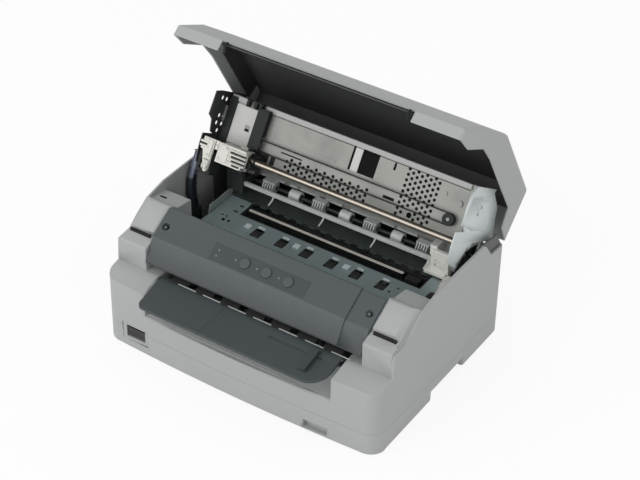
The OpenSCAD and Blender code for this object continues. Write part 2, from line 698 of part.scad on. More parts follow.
// A feed roller set: its shaft, rubber rollers under the windows and its gear, turning as one
roller_w = 11;
module front_feed_roller() color(dark) placed() {
    bar_x(front_feed_y, front_feed_z, roller_shaft_r, -frame_x - frame_t - 3, gear_x0 + gear_w + 1);
    for (i = [0 : window_count - 1]) bar_x(front_feed_y, front_feed_z, feed_r,
        window_x(i) - roller_w / 2, window_x(i) + roller_w / 2);
    gear(front_feed_y, front_feed_z, gear_teeth, 0, roller_shaft_r - 0.5);
}
module rear_feed_roller() color(dark) placed() {
    bar_x(rear_feed_y, rear_feed_z, roller_shaft_r, -frame_x - frame_t - 3, gear_x0 + gear_w + 1);
    for (i = [1, 3, 5])
        bar_x(rear_feed_y, rear_feed_z, feed_r, press_x(i) - 8, press_x(i) + 8);
    gear(rear_feed_y, rear_feed_z, gear_teeth, rear_gear_turn, roller_shaft_r - 0.5);
}
module idler_gear() color(white_plastic) placed()
    gear(idler_y, idler_z, idler_teeth, idler_turn, 2 + running);
module motor_pinion() color([0.8, 0.65, 0.35]) placed() {
    gear(pinion_y, pinion_z, pinion_teeth, pinion_turn, 2);
    bar_x(pinion_y, pinion_z, 2.5, frame_x - 4, gear_x0 + gear_w + 1);
}
motor_r = 18;
module feed_motor() color([0.35, 0.35, 0.37]) placed() difference() {
    union() {
        bar_x(pinion_y, pinion_z, motor_r, frame_x - 42, frame_x);
        bar_x(pinion_y, pinion_z, motor_boss_r, frame_x - 1, frame_x + frame_t + 1);
        bar_x(idler_y, idler_z, 2, frame_x + frame_t, gear_x0 + gear_w + 1);
        bar_x(idler_y, idler_z, 5, frame_x + frame_t, gear_x0 - gap);
    }
    bar_x(pinion_y, pinion_z, 2.5 + running, frame_x - 5, frame_x + 8);
}

// ---- rear paper guide with its pressure rollers ----

guide_bar_y = back(72.6);
guide_bar_z = 128.4;
guide_bar_half = frame_x - 14;
press_y = rear_feed_y;
press_z = 114 + gap + press_r;
beam_y0 = back(100);
beam_y1 = back(107);
beam_z0 = 126;
beam_z1 = 139;
hook_count = 4;
end_block_w = 24;
press_shaft_r = 2.5;

module guide_bar() color([0.78, 0.80, 0.80]) placed() {
    box([-guide_bar_half, guide_bar_y - 2, guide_bar_z - 3],
        [guide_bar_half, guide_bar_y + 2, guide_bar_z + 2]);
    for (i = [0 : hook_count - 1]) let (x = press_x(2 * i) + 18)
        along_x(sheet([[guide_bar_y - 1, guide_bar_z - 2], [guide_bar_y - 5, guide_bar_z - 6],
            [guide_bar_y - 13, guide_bar_z - 8.5]], 1.2), x - 1, x + 1);
}

// End blocks stand on the rear table and hold the guide bar, the roller shaft and the beam
END_BLOCK = [[back(68), 112], [back(110), 112], [back(110), beam_z1 + 1], [back(98), beam_z1 + 1],
    [back(84), 134], [back(76), 134], [back(74), 145], [back(68), 145]];
module guide_blocks() color(white_plastic) placed() difference() {
    both_sides() along_x(END_BLOCK, guide_bar_half, guide_bar_half + end_block_w);
    both_sides() bar_x(press_y, press_z, press_shaft_r + running, guide_bar_half - 1, guide_bar_half + 10);
    for (z = [118, 124, 130]) box([guide_bar_half + 5, back(60), z],
        [guide_bar_half + end_block_w - 5, back(71), z + 2.5]);
}

module pressure_beam() color([0.72, 0.73, 0.73]) placed() {
    difference() {
        box([-guide_bar_half, beam_y0, beam_z0], [guide_bar_half, beam_y1, beam_z1]);
        box([-guide_bar_half - 1, beam_y0 + 1.6, beam_z0 - 1],
            [guide_bar_half + 1, beam_y1 + 1, beam_z1 - 1.6]);
    }
    for (i = [0 : press_count]) let (x = press_x(i - 0.5))
        box([x - 3.5, beam_y0 + 1, beam_z0], [x + 3.5, beam_y1, beam_z1]);
}

// Combs of thin fins hold the paper down between the rollers; each hangs on the roller shaft
fin_t = 1.4;
fin_pitch = 3.4;
fin_count = 5;
COMB_FIN = [[press_y - 11, 115.5], [press_y + 6.5, 115.5], [press_y + 6.8, 126], [press_y + 3, 131.5],
    [press_y - 6, 131.5], [press_y - 11, 124]];
module guide_combs() color([0.80, 0.82, 0.82]) placed() difference() {
    for (i = [0, 2, 4, 6]) {
        for (k = [0 : fin_count - 1]) let (x = press_x(i) + (k - (fin_count - 1) / 2) * fin_pitch)
            along_x(COMB_FIN, x - fin_t / 2, x + fin_t / 2);
        along_x([[press_y - 6, 129.5], [press_y + 3, 129.5], [press_y + 3, 131.5], [press_y - 6, 131.5]],
            press_x(i) - 9, press_x(i) + 9);
    }
    bar_x(press_y, press_z, press_shaft_r + running, -guide_bar_half, guide_bar_half);
}
module pressure_rollers() color([0.70, 0.71, 0.70]) placed() {
    bar_x(press_y, press_z, press_shaft_r, -guide_bar_half - 9, guide_bar_half + 9);
    for (i = [1, 3, 5]) bar_x(press_y, press_z, press_r, press_x(i) - 7.5, press_x(i) + 7.5);
}

// ---- release lever on the left ----

lever_x0 = -half_w + 6.6;
lever_t = 5;
lever_y = back(34);
lever_z = 86;
lever_pin_r = 3;
function lever_points(points) = [for (p = points) [lever_y + p[0], lever_z + p[1]]];
LEVER = lever_points([[-7, -4], [7, -4], [7, 14], [2, 48], [12, 78], [9, 90], [-1, 90], [-5, 76],
    [-9, 46]]);
LEVER_RIB = lever_points([[-3, 80], [7, 80], [7, 84], [-3, 84]]);
module release_lever() color([0.20, 0.23, 0.33]) placed() difference() {
    union() {
        along_x(LEVER, lever_x0, lever_x0 + lever_t);
        bar_x(lever_y, lever_z, 8, lever_x0, lever_x0 + lever_t);
        along_x(LEVER_RIB, lever_x0, lever_x0 + lever_t + 1.6);
    }
    bar_x(lever_y, lever_z, lever_pin_r + running, lever_x0 - 1, lever_x0 + lever_t + 1);
}
stand_x0 = lever_x0 + lever_t + gap;
stand_z = foot_gap + grip_h + 3 * wall;
module lever_stand() color(steel) placed() {
    along_x([[lever_y - 12, stand_z], [lever_y + 12, stand_z], [lever_y + 8, lever_z + 8],
        [lever_y - 8, lever_z + 8]], stand_x0, stand_x0 + 2);
    box([stand_x0, lever_y - 12, stand_z], [stand_x0 + 18, lever_y + 12, stand_z + 2]);
    box([stand_x0 + 16, lever_y - 12, base_z + base_t], [stand_x0 + 18, lever_y + 12, stand_z + 1]);
    bar_x(lever_y, lever_z, lever_pin_r, lever_x0 - 0.6, stand_x0 + 1);
}

// ---- electrics ----

board_z = base_z + base_t + 8;
board_t = 1.6;
board_x0 = beside(-128);
board_x1 = 20;
board_y0 = back(28);
board_y1 = back(104);
board_screw_x = [board_x0 + 8, board_x1 - 8];
board_screw_y = [board_y0 + 6, board_y1 - 6];
board_top = board_z + board_t;
chip_x = across(-76);
module main_board() color([0.10, 0.32, 0.18]) placed() {
    difference() {
        box([board_x0, board_y0, board_z], [board_x1, board_y1, board_top]);
        for (x = board_screw_x, y = board_screw_y) bar_z(x, y, 1.7, board_z - 1, board_top + 1);
    }
    for (x = board_screw_x, y = board_screw_y) difference() {
        bar_z(x, y, 3.5, base_z + base_t, board_z);
        bar_z(x, y, 1.5, base_z + base_t + 1, board_z + 1);
    }
    box([chip_x - 14, board_y0 + 22, board_top], [chip_x + 14, board_y0 + 50, board_top + 3]);
    box([across(-36) - 9, board_y0 + 18, board_top], [across(-36) + 9, board_y0 + 30, board_top + 3]);
    for (x = [-12, 0]) bar_z(x, board_y0 + 32, 5, board_top, board_top + 14);
}
supply_x0 = beside(44);
supply_x1 = beside(132);
supply_y0 = back(30);
supply_y1 = back(102);
supply_z0 = base_z + base_t;
supply_z1 = supply_z0 + 38;
supply_wall = 2;
module power_supply() color([0.70, 0.71, 0.72]) placed() difference() {
    box([supply_x0, supply_y0, supply_z0], [supply_x1, supply_y1, supply_z1]);
    box([supply_x0 + supply_wall, supply_y0 + supply_wall, supply_z0 + supply_wall],
        [supply_x1 - supply_wall, supply_y1 - supply_wall, supply_z1 - supply_wall / 2]);
    for (i = [0 : 7]) box([supply_x0 + 10 + 9 * i, supply_y0 + 10, supply_z1 - 8],
        [supply_x0 + 14 + 9 * i, supply_y1 - 10, supply_z1 + 2]);
}
socket_wall = 1.5;
module socket_shell(x, z, w, h, depth) difference() {
    box([x - w / 2 + gap, rear_y - depth, z - h / 2 + gap], [x + w / 2 - gap, rear_y + 0.6, z + h / 2 - gap]);
    box([x - w / 2 + gap + socket_wall, rear_y - depth + 2, z - h / 2 + gap + socket_wall],
        [x + w / 2 - gap - socket_wall, rear_y + 2, z + h / 2 - gap - socket_wall]);
}
inlet_depth = 22;
module power_inlet() color(dark) placed() {
    socket_shell(inlet_x, inlet_z, inlet_w, inlet_h, inlet_depth);
    for (p = [[-7, -2], [0, 2], [7, -2]])
        bar_y(inlet_x + p[0], inlet_z + p[1], 1.2, rear_y - inlet_depth + 1, rear_y - 6);
    box([inlet_x - inlet_w / 2 - 3, rear_y - wall - 2, inlet_z - inlet_h / 2 - 3],
        [inlet_x - inlet_w / 2 + gap + 0.5, rear_y - wall, inlet_z + inlet_h / 2 + 3]);
    box([inlet_x + inlet_w / 2 - gap - 0.5, rear_y - wall - 2, inlet_z - inlet_h / 2 - 3],
        [inlet_x + inlet_w / 2 + 3, rear_y - wall, inlet_z + inlet_h / 2 + 3]);
}
module data_sockets() color([0.55, 0.56, 0.58]) placed() for (i = [0, 1]) {
    socket_shell(socket_x[i], socket_z, socket_w[i], socket_h, 16);
    box([socket_x[i] - socket_w[i] / 2 + 4, rear_y - 16, socket_z - 1.5],
        [socket_x[i] + socket_w[i] / 2 - 4, rear_y - 5, socket_z + 1.5]);
    for (side = [-1, 1]) let (x = socket_x[i] + side * (socket_w[i] / 2 + 1))
        box([x - 2, rear_y - wall - 2, socket_z - socket_h / 2],
            [x + 2, rear_y - wall, socket_z + socket_h / 2]);
}

// Framed power switch in the left front
switch_y = front_y + front_bow * (switch_x / half_w) * (switch_x / half_w);
rocker_r = 12;
rocker_y = switch_y + 9;
module switch_frame() color(grey) placed() difference() {
    union() {
        box([switch_x - switch_plate_w / 2 + gap, switch_y + 1.5, switch_z - switch_plate_h / 2 + gap],
            [switch_x + switch_plate_w / 2 - gap, switch_y + 4, switch_z + switch_plate_h / 2 - gap]);
        box([switch_x - switch_w / 2 - 1.5, switch_y + 2, switch_z - switch_h / 2 - 1.5],
            [switch_x + switch_w / 2 + 1.5, switch_y + 20, switch_z + switch_h / 2 + 1.5]);
        box([switch_x - switch_plate_w / 2 - 4, switch_y + wall + 2, switch_z - 6],
            [switch_x + switch_plate_w / 2 + 4, switch_y + wall + 4, switch_z + 6]);
    }
    box([switch_x - switch_w / 2, switch_y - 1, switch_z - switch_h / 2],
        [switch_x + switch_w / 2, switch_y + 18, switch_z + switch_h / 2]);
    bar_x(rocker_y, switch_z, 1.5 + running, switch_x - switch_w / 2 - 1, switch_x + switch_w / 2 + 1);
}
module power_rocker() color(dark) placed() {
    bar_x(rocker_y, switch_z, 1.5, switch_x - switch_w / 2 - 1, switch_x + switch_w / 2 + 1);
    along_x([[rocker_y - 6.5, switch_z - 6.8], [rocker_y + 3, switch_z - 4],
        [rocker_y + 3, switch_z + 4], [rocker_y - 7.5, switch_z + 6.8],
        [rocker_y - 6.2, switch_z]], switch_x - switch_w / 2 + gap, switch_x + switch_w / 2 - gap);
}

// ---- hinges ----

// Steel brackets behind the side walls hold the two hinge pins
bracket_t = 2.5;
bracket_x0 = lug_x0 - gap - bracket_t;
bracket_x1 = lug_x1 + gap;
BRACKET = [[hinge_y - 16, base_z + base_t], [hinge_y - 6, base_z + base_t], [hinge_y - 6, 118],
    [hinge_y + 1, hinge_z - 4], [hinge_y - 4, hinge_z + 1], [hinge_y - 16, 118]];
module hinge_brackets() color(steel) placed() both_sides() difference() {
    union() {
        for (x = [bracket_x0, bracket_x1]) {
            along_x(BRACKET, x, x + bracket_t);
            bar_x(hinge_y, hinge_z, hinge_lug_r, x, x + bracket_t);
        }
        box([bracket_x0, hinge_y - 16, base_z + base_t], [bracket_x1 + bracket_t, hinge_y - 14, 112]);
        box([bracket_x0, hinge_y - 24, base_z + base_t],
            [bracket_x1 + bracket_t, hinge_y - 6, base_z + base_t + 2]);
    }
    bar_x(hinge_y, hinge_z, hinge_pin_r, bracket_x0 - 1, bracket_x1 + bracket_t + 1);
}
module hinge_pins() color([0.6, 0.6, 0.62]) placed() both_sides()
    bar_x(hinge_y, hinge_z, hinge_pin_r, bracket_x0 - 0.5, plate_x + 2.5);

// ---- cover ----

// The cover's closed outline. Its skin is open below: the cavity's outline runs on past the edge.
lip_z = up(145);
slope_z = up(173);
COVER_EDGE = [[front(-111), 132], [front(-83), 136.5], [front(-47), 159], [front(-16), wall_top_z + 1.5],
    [back(97), wall_top_z + 1.5], [back(111), 140.5], [back(139), 137.5]];
COVER_TOP = [[back(122), case_h], [front(-7), case_h], [front(-73), slope_z], [front(-113), lip_z]];
function roof_z(y) = case_h - (front(-7) - y) * (case_h - slope_z) / (front(-7) - front(-73));
COVER = concat(COVER_EDGE, COVER_TOP);
CAVITY = concat([[front(-109.6), 100], [back(148.6), 100]], COVER_TOP);

module cover_shell() color(grey) placed() opened(cover_open) {
    difference() {
        along_x(COVER, -half_w, half_w);
        along_x(inset(CAVITY, wall), -half_w + wall, half_w - wall);
        // the front lip is left out between its two ears
        box([-lip_gap_half, front(-125), 120], [lip_gap_half, front(-106), lip_z + 0.5]);
    }
    both_sides() cover_lug();
}
module cover_lug() difference() {
    union() {
        bar_x(hinge_y, hinge_z, hinge_lug_r, lug_x0, lug_x1);
        along_x([[hinge_y - hinge_lug_r, hinge_z], [hinge_y + hinge_lug_r, hinge_z],
            [hinge_y - 1.2, hinge_z + 11],
            [hinge_y - 4.2, hinge_z + 24], [hinge_y - 9.5, hinge_z + 24]], lug_x0, lug_x1);
    }
    bar_x(hinge_y, hinge_z, hinge_pin_r + running, lug_x0 - 1, lug_x1 + 1);
}

// The dark lining follows the cover's inside from the lip to the rear
liner_half = half_w - wall - gap;
LINER = inset(CAVITY, wall + gap);
function between(a, b, t) = a + (b - a) * t;
LINER_LINE = [between(LINER[5], LINER[4], 0.04), LINER[4], LINER[3], LINER[2],
    between(LINER[2], LINER[1], 0.28)];
field_z = wall + gap + liner_t;
field_t = 3.2;
FIELD = [for (p = [[-58, field_t], [-12, field_t], [-12, -0.4], [-58, -0.4]])
    [front(p[0]), roof_z(front(p[0])) - field_z - p[1]]];
module cover_liner() color(dark) placed() opened(cover_open) {
    along_x(sheet(LINER_LINE, -liner_t), -liner_half, liner_half);
    // a flat raised field, and a strip along each side
    along_x(FIELD, -liner_half + 30, liner_half - 30);
    both_sides() box([liner_half - 2, front(-4), case_h - 26],
        [liner_half, back(100), case_h - wall - gap - 0.5]);
}
felt_half = half_w - 42;
LINER_LOW = [for (i = [0, 1]) moved_point(LINER_LINE, i, -liner_t - 0.01)];
module felt_strip() color([0.05, 0.05, 0.05]) placed() opened(cover_open)
    along_x(sheet([between(LINER_LOW[0], LINER_LOW[1], 0.16), between(LINER_LOW[0], LINER_LOW[1], 0.84)],
        -felt_t), -felt_half, felt_half);

// Small metal hooks at the ends of the lip hold the cover shut
hook_z = lip_z + 0.5;
module cover_hooks() color(steel) placed() opened(cover_open) both_sides()
    along_x([[front(-112), hook_z], [front(-110.4), hook_z], [front(-110.4), hook_z - 6],
        [front(-106), hook_z - 9], [front(-106), hook_z - 11], [front(-112), hook_z - 7]],
        lip_gap_half - 8, lip_gap_half - 5);

// ---- print unit ----

// Everything in the raised unit is written for the closed place and turned up by unit_open
module raised() placed() opened(unit_open) children();

plate_in_x = plate_x - unit_plate_t;
back_plate_y = back(55.5);
back_plate_t = 1.2;
back_plate_half = half_w - 22;
back_plate_z0 = 123.3;
back_plate_z1 = up(194.3);
shaft_y = back(32.3);
shaft_z = 128.2;
function plate_points(points) = [for (p = points) [back(p[0]), p[1] > hinge_z ? up(p[1]) : p[1]]];
PLATE_REAR = [[57, 92.3], [70, 120], [115, 131.3], [131, 129.2], [131, 146], [119, 173], [96.5, 189.5],
    [99, 194.5]];
PLATE_FRONT = [[23.8, 140], [23.6, 125.5], [27.8, 104.3]];
RIGHT_PLATE = plate_points(concat(PLATE_REAR, [[43.6, 195.5], [33.5, 185.5], [32.5, 170.5],
    [33.7, 156], [47, 141]], PLATE_FRONT));
LEFT_PLATE = plate_points(concat(PLATE_REAR, [[38.3, 194.7], [25, 193.2], [23.9, 163.8],
    [33.5, 158.2], [38.8, 142.6], [45.4, 140.6]], PLATE_FRONT));
HINGE_ARM = [[back(115), 131.3], [hinge_y, hinge_z - hinge_lug_r], [hinge_y, hinge_z],
    [hinge_y - 3, hinge_z + 3.2], [back(131), 146]];
module side_plate(points, x0) difference() {
    union() {
        along_x(points, x0, x0 + unit_plate_t);
        along_x(HINGE_ARM, x0, x0 + unit_plate_t);
        bar_x(hinge_y, hinge_z, hinge_lug_r, x0, x0 + unit_plate_t);
        bar_x(back(72), 125, 7, x0, x0 + unit_plate_t);
    }
    bar_x(hinge_y, hinge_z, hinge_pin_r + running, x0 - 1, x0 + unit_plate_t + 1);
}

PLATE_HOLES = [[43.4, 186], [53.6, 185], [48, 164], [58, 163.6], [46.8, 154.5], [59, 154], [53.5, 145.2]];
module unit_left_plate() color([0.42, 0.44, 0.46]) raised() difference() {
    side_plate(LEFT_PLATE, -plate_x);
    for (p = plate_points(PLATE_HOLES)) bar_x(p[0], p[1], 2.6, -plate_x - 1, -plate_in_x + 1);
}
pocket_depth = 0.8;
POCKET = plate_points([[40.3, 181.5], [61, 184], [94, 178], [112, 143.5], [61.6, 143.2], [36.5, 149]]);
module unit_right_plate() color([0.80, 0.83, 0.84]) raised() {
    difference() {
        union() {
            side_plate(RIGHT_PLATE, plate_in_x);
            along_x(inset(POCKET, 1), plate_in_x - pocket_depth, plate_in_x + 0.1);
        }
        along_x(POCKET, plate_x - pocket_depth, plate_x + 1);
        for (p = plate_points([[70.5, 162.5], [75, 171]]))
            bar_x(p[0], p[1], 2, plate_in_x - 3, plate_x + 1);
    }
    bar_x(back(72), 125, 4, plate_x - 0.1, plate_x + 1.6);
    bar_x(back(52.5), 98.5, 2.4, plate_x - 0.1, plate_x + 1.2);
}
// The upright back plate: vent holes in two fields, a window, slots and a bent top edge
vent_row = vent_pitch / 2;
vent_column = vent_pitch * sqrt(3) / 2;
vent_z = 131;
vent_rows = floor((back_plate_z1 - 8 - vent_z) / vent_row) + 1;
round_hole_x = beside(101);
round_hole_z = 134.3;
module vent_field(x0, z0, columns, rows) for (j = [0 : rows - 1]) for (i = [0 : columns - 1])
    let (x = x0 + (2 * i + j % 2) * vent_column, z = z0 + j * vent_row)
    if (norm([x - round_hole_x, z - round_hole_z]) > 7)
        bar_y(x, z, vent_r, back_plate_y - 1, back_plate_y + back_plate_t + 1);
pane_x0 = 7;
pane_x1 = 43;
pane_z0 = up(158.5);
pane_z1 = up(189);
belt_z = 147.3;
belt_t = 1.2;
idler_x = beside(151.6);
motor_x = beside(-117);
module back_slot(x0, z0, x1, z1) box([x0, back_plate_y - 1, z0], [x1, back_plate_y + back_plate_t + 1, z1]);
module unit_back_plate() color([0.72, 0.73, 0.72]) raised() {
    difference() {
        union() {
            box([-back_plate_half, back_plate_y, back_plate_z0],
                [back_plate_half, back_plate_y + back_plate_t, back_plate_z1]);
            box([-plate_in_x, back_plate_y, up(158)],
                [plate_in_x - pocket_depth, back_plate_y + back_plate_t, up(178)]);
            box([-back_plate_half, back_plate_y, back_plate_z1 - back_plate_t],
                [back_plate_half, back_plate_y + 9, back_plate_z1]);
            box([-60, back_plate_y - 0.5, up(160)], [-10, back_plate_y + 0.5, up(163)]);
            bar_y(beside(157), up(168), 3.5, back_plate_y - 2, back_plate_y + 0.5);
            bar_y(beside(136), up(173.5), 2.4, back_plate_y - 1.2, back_plate_y + 0.5);
        }
        vent_field(beside(-72), vent_z - 4, 10, 6);
        vent_field(beside(84), vent_z, 4, vent_rows);
        bar_y(round_hole_x, round_hole_z, 3.4, back_plate_y - 1, back_plate_y + back_plate_t + 1);
        back_slot(pane_x0, pane_z0, pane_x1, pane_z1);
        back_slot(beside(63.5), up(177), beside(66.5), up(186));
        back_slot(beside(70), up(187.5), beside(86), up(189));
        back_slot(beside(62), 142.5, beside(77), 146);
        back_slot(beside(-83), 148, beside(-53), 149.2);
        bar_y(motor_x, belt_z, 2.5, back_plate_y - 1, back_plate_y + back_plate_t + 1);
    }
    // the stub on which the idler pulley turns
    bar_y(idler_x, belt_z, 2, back_plate_y - 7.6, back_plate_y + 0.5);
}

// White insulating sheets: one on the back plate's left, one in its window
module unit_screens() color(white_plastic) raised() {
    difference() {
        box([beside(-160), back_plate_y - 0.8, 137.3], [beside(-127.4), back_plate_y, up(185.5)]);
        box([beside(-140), back_plate_y - 2, up(156)], [beside(-134), back_plate_y + 1, up(164)]);
    }
    box([pane_x0 + 3, back_plate_y, pane_z0 + gap / 2],
        [pane_x0 + 13, back_plate_y + 1, pane_z1 - gap / 2]);
}

// A dark bent post covers the motor's pulley
post_x0 = motor_x - 7.5;
post_x1 = motor_x + 7.5;
post_z0 = belt_z - 1;
post_z1 = up(190.3);
module screen_post() color([0.28, 0.29, 0.31]) raised() {
    box([post_x0, back_plate_y - 10, post_z0], [post_x1, back_plate_y - 8.8, post_z1]);
    for (x = [post_x0, post_x1 - 1.2])
        box([x, back_plate_y - 9, belt_z + pulley_r + 4.7], [x + 1.2, back_plate_y, post_z1]);
}

module unit_cross_bar() color(steel) raised() bar_x(back(104), up(174), 3, -plate_in_x, plate_in_x);
module carriage_shaft() color([0.72, 0.64, 0.50]) raised()
    bar_x(shaft_y, shaft_z, carriage_shaft_r, -plate_in_x, plate_in_x);

// The white bracket for the ribbon hangs from the left plate into the left of the case
bracket_low_z = 94;
bracket_left = beside(-172);
bracket_right = beside(-151.5);
bracket_wall = 2;
module ribbon_bracket() color(white_plastic) raised() difference() {
    union() {
        along_x([[back(25), bracket_low_z], [back(40), bracket_low_z], [back(50), 104], [back(50), 121],
            [back(25), 121]], bracket_left, bracket_right);
        box([-plate_in_x, back(28), 108], [bracket_left + 0.5, back(46), 119]);
    }
    along_x([[back(27), bracket_low_z + 2], [back(39), bracket_low_z + 2], [back(48), 105],
        [back(48), 122], [back(27), 122]], bracket_left + bracket_wall, bracket_right - bracket_wall);
    for (z = [99, 106, 113])
        box([bracket_left + 4, back(20), z], [bracket_right - 3.5, back(30), z + 3.5]);
    box([bracket_left + 7, back(40), 108], [bracket_right - 6.5, back(52), 116]);
}

motor_body_r = 14;
module carriage_motor() color([0.30, 0.30, 0.32]) raised() difference() {
    union() {
        bar_y(motor_x, belt_z, motor_body_r, back_plate_y + back_plate_t, back(88));
        for (x = [motor_x - 10, motor_x + 10])
            bar_y(x, belt_z + 13, 3, back_plate_y + back_plate_t, back_plate_y + back_plate_t + 3);
    }
    bar_y(motor_x, belt_z, 2 + running, back_plate_y - 1, back_plate_y + 12);
}

module pulley_body(x) {
    bar_y(x, belt_z, pulley_r, back_plate_y - 6.6, back_plate_y - 1.2);
    bar_y(x, belt_z, pulley_r + 1.5, back_plate_y - 7.2, back_plate_y - 6.4);
    bar_y(x, belt_z, pulley_r + 1.5, back_plate_y - 1.6, back_plate_y - 0.8);
}
module motor_pulley() color([0.8, 0.65, 0.35]) raised() {
    pulley_body(motor_x);
    bar_y(motor_x, belt_z, 2, back_plate_y - 2, back_plate_y + 11);
}
module idler_pulley() color([0.8, 0.65, 0.35]) raised() difference() {
    pulley_body(idler_x);
    bar_y(idler_x, belt_z, 2 + running, back_plate_y - 9, back_plate_y + 1);
}
module belt_loop(r) {
    for (x = [motor_x, idler_x]) translate([x, 0]) circle(r = r);
    translate([motor_x, -r]) square([idler_x - motor_x, 2 * r]);
}
module drive_belt() color(dark) raised() translate([0, back_plate_y - 2, belt_z]) rotate([90, 0, 0])
    linear_extrude(4) difference() {
        belt_loop(pulley_r + gap + belt_t);
        belt_loop(pulley_r + gap);
    }

// The carriage slides on the shaft and stands at the left end
carriage_x0 = beside(-146.5);
carriage_x1 = carriage_x0 + 34.5;
carriage_top_z = belt_z - pulley_r - gap - belt_t - gap;
carriage_z0 = platen_top + 0.6;
CARRIAGE = [[back(24), carriage_z0], [back(52), carriage_z0], [back(53.5), 118], [back(53.5), 134],
    [back(46), 137.5], [back(26), 137.5], [back(22.5), 133], [back(22.5), 118]];
module carriage() color(white_plastic) raised() {
    difference() {
        along_x(CARRIAGE, carriage_x0, carriage_x1);
        bar_x(shaft_y, shaft_z, carriage_shaft_r + running, carriage_x0 - 1, carriage_x1 + 1);
        box([carriage_x0 + 4, back(40), carriage_z0 + 3], [carriage_x1 - 4, back(50), 140]);
        box([carriage_x0 + 4, back(20), 115.5], [carriage_x1 - 10, back(27), 122]);
        box([carriage_x1 - 8, back(20), 115.5], [carriage_x1 - 3, back(27), 134]);
    }
    // the clamp under the belt
    box([carriage_x0 + 12, back_plate_y - 6, 130], [carriage_x0 + 22, back_plate_y - 2, carriage_top_z]);
}

HEAD = [[back(40), carriage_z0 + 0.4], [back(52), carriage_z0 + 0.4], [back(53), 134], [back(38), 134]];
module print_head() color(dark) raised() {
    along_x(HEAD, carriage_x1, carriage_x1 + 11.5);
    for (i = [0 : 4]) let (x = carriage_x1 + 1 + i * 2.4)
        box([x, back(38.5), 120], [x + 1, back(53.2), 136.5]);
    box([carriage_x1, back(44), platen_top + 0.4], [carriage_x1 + 10, back(50), 116]);
}

// ---- nodes ----

lower_case();
upper_case();
rubber_feet();
seal_strips();
control_panel();
panel_inlay();
status_lamps();
panel_screws();
push_button_left();
push_button_middle();
push_button_right();
front_tray();
edge_guide();
slot_lip();
paper_table();
table_tabs();
rear_table();
platen_channel();
platen_bar();
left_frame();
right_frame();
base_plate();
front_feed_roller();
rear_feed_roller();
idler_gear();
motor_pinion();
feed_motor();
guide_bar();
guide_blocks();
pressure_beam();
guide_combs();
pressure_rollers();
release_lever();
lever_stand();
main_board();
power_supply();
power_inlet();
data_sockets();
switch_frame();
power_rocker();
hinge_brackets();
hinge_pins();
cover_shell();
cover_liner();
felt_strip();
cover_hooks();
unit_left_plate();
unit_right_plate();
unit_back_plate();
unit_screens();
screen_post();
unit_cross_bar();
carriage_shaft();
ribbon_bracket();
carriage_motor();
motor_pulley();
idler_pulley();
drive_belt();
carriage();
print_head();
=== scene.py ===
"""Looks of a flatbed dot matrix printer: rounded mouldings, finishes, small fittings, light and camera."""
import json
import math

import bmesh
import bpy
import numpy as np
from bpy.props import FloatProperty, FloatVectorProperty, PointerProperty
from bpy.types import Operator, Panel, PropertyGroup
from mathutils import Matrix, Vector
from mathutils.bvhtree import BVHTree
from mathutils.kdtree import KDTree

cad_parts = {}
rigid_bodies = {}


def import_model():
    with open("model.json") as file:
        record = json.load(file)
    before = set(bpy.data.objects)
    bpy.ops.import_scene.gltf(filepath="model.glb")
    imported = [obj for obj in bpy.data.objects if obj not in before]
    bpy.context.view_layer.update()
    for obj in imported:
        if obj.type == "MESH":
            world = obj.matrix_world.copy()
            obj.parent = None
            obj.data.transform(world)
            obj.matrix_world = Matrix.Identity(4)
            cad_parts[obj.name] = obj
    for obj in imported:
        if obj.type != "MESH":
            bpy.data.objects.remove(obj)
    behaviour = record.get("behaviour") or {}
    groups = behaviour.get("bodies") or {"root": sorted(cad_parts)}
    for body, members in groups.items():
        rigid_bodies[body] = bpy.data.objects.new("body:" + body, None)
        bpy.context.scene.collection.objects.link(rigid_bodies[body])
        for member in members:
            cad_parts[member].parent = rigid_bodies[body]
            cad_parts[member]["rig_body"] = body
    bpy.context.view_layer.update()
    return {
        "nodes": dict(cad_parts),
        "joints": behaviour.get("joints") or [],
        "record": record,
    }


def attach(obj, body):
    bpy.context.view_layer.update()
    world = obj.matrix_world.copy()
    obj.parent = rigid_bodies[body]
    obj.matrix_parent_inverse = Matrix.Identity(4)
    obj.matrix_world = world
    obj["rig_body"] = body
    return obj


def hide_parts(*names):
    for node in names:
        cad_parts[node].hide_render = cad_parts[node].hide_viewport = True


bl_info = {
    "name": "Dot matrix printer",
    "version": (1, 0, 0),
    "blender": (4, 5, 0),
    "location": "View3D > Sidebar > Printer",
    "description": "Dresses the packed solids of a flatbed dot matrix printer with finishes and fittings",
    "category": "Object",
}

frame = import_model()
SLOT_OF = {s["node"]: s["material_slot"] for s in frame["record"]["subparts"]}
JOINT = {j["name"]: j for j in frame["joints"]}
MM = 0.001
HINGE = Vector(JOINT["cover_turn"]["pos_m"])
HINGE_BACK = 0.138  # the hinge's distance behind the case's middle
CASE_Y = HINGE.y - HINGE_BACK  # the case's middle in the frame
COVER_OPEN, UNIT_OPEN = 60.4, 33  # degrees by which the cover and the print unit stand open
UNIT_ANGLE = math.radians(JOINT["cover_turn"]["range_deg"][1]) * UNIT_OPEN / COVER_OPEN
OPENED = {"print_unit": UNIT_ANGLE, "carriage": UNIT_ANGLE}  # what stands open, and by how much
FINISH = {}

# Inner walls of the upper case, in the frame: half their distance in x, and from where to where they run in y; the
# case's colour between them is darkened as painted shade
WELL_HALF, WELL_FRONT, WELL_REAR = 0.1885, -0.031, 0.1204
BARE_STEEL = (0.5, 0.52, 0.52)

# Folds and rounded edges
CREASE = math.radians(30)  # a fold over this parts the shading
LEAST_EDGE = 0.1 * MM  # a narrower rounding is left out
EDGE_SHARE = 0.45  # the share of its room that a rounding may take
RUN_ON = math.radians(130)  # edges that meet at more than this are one smooth line
PROUD = 0.06 * MM  # how far a rounded corner may stand out of its solid
SUNK = 0.8  # how deep it may lie in it, over the widest rounding
ROUNDING_TRIES = 7

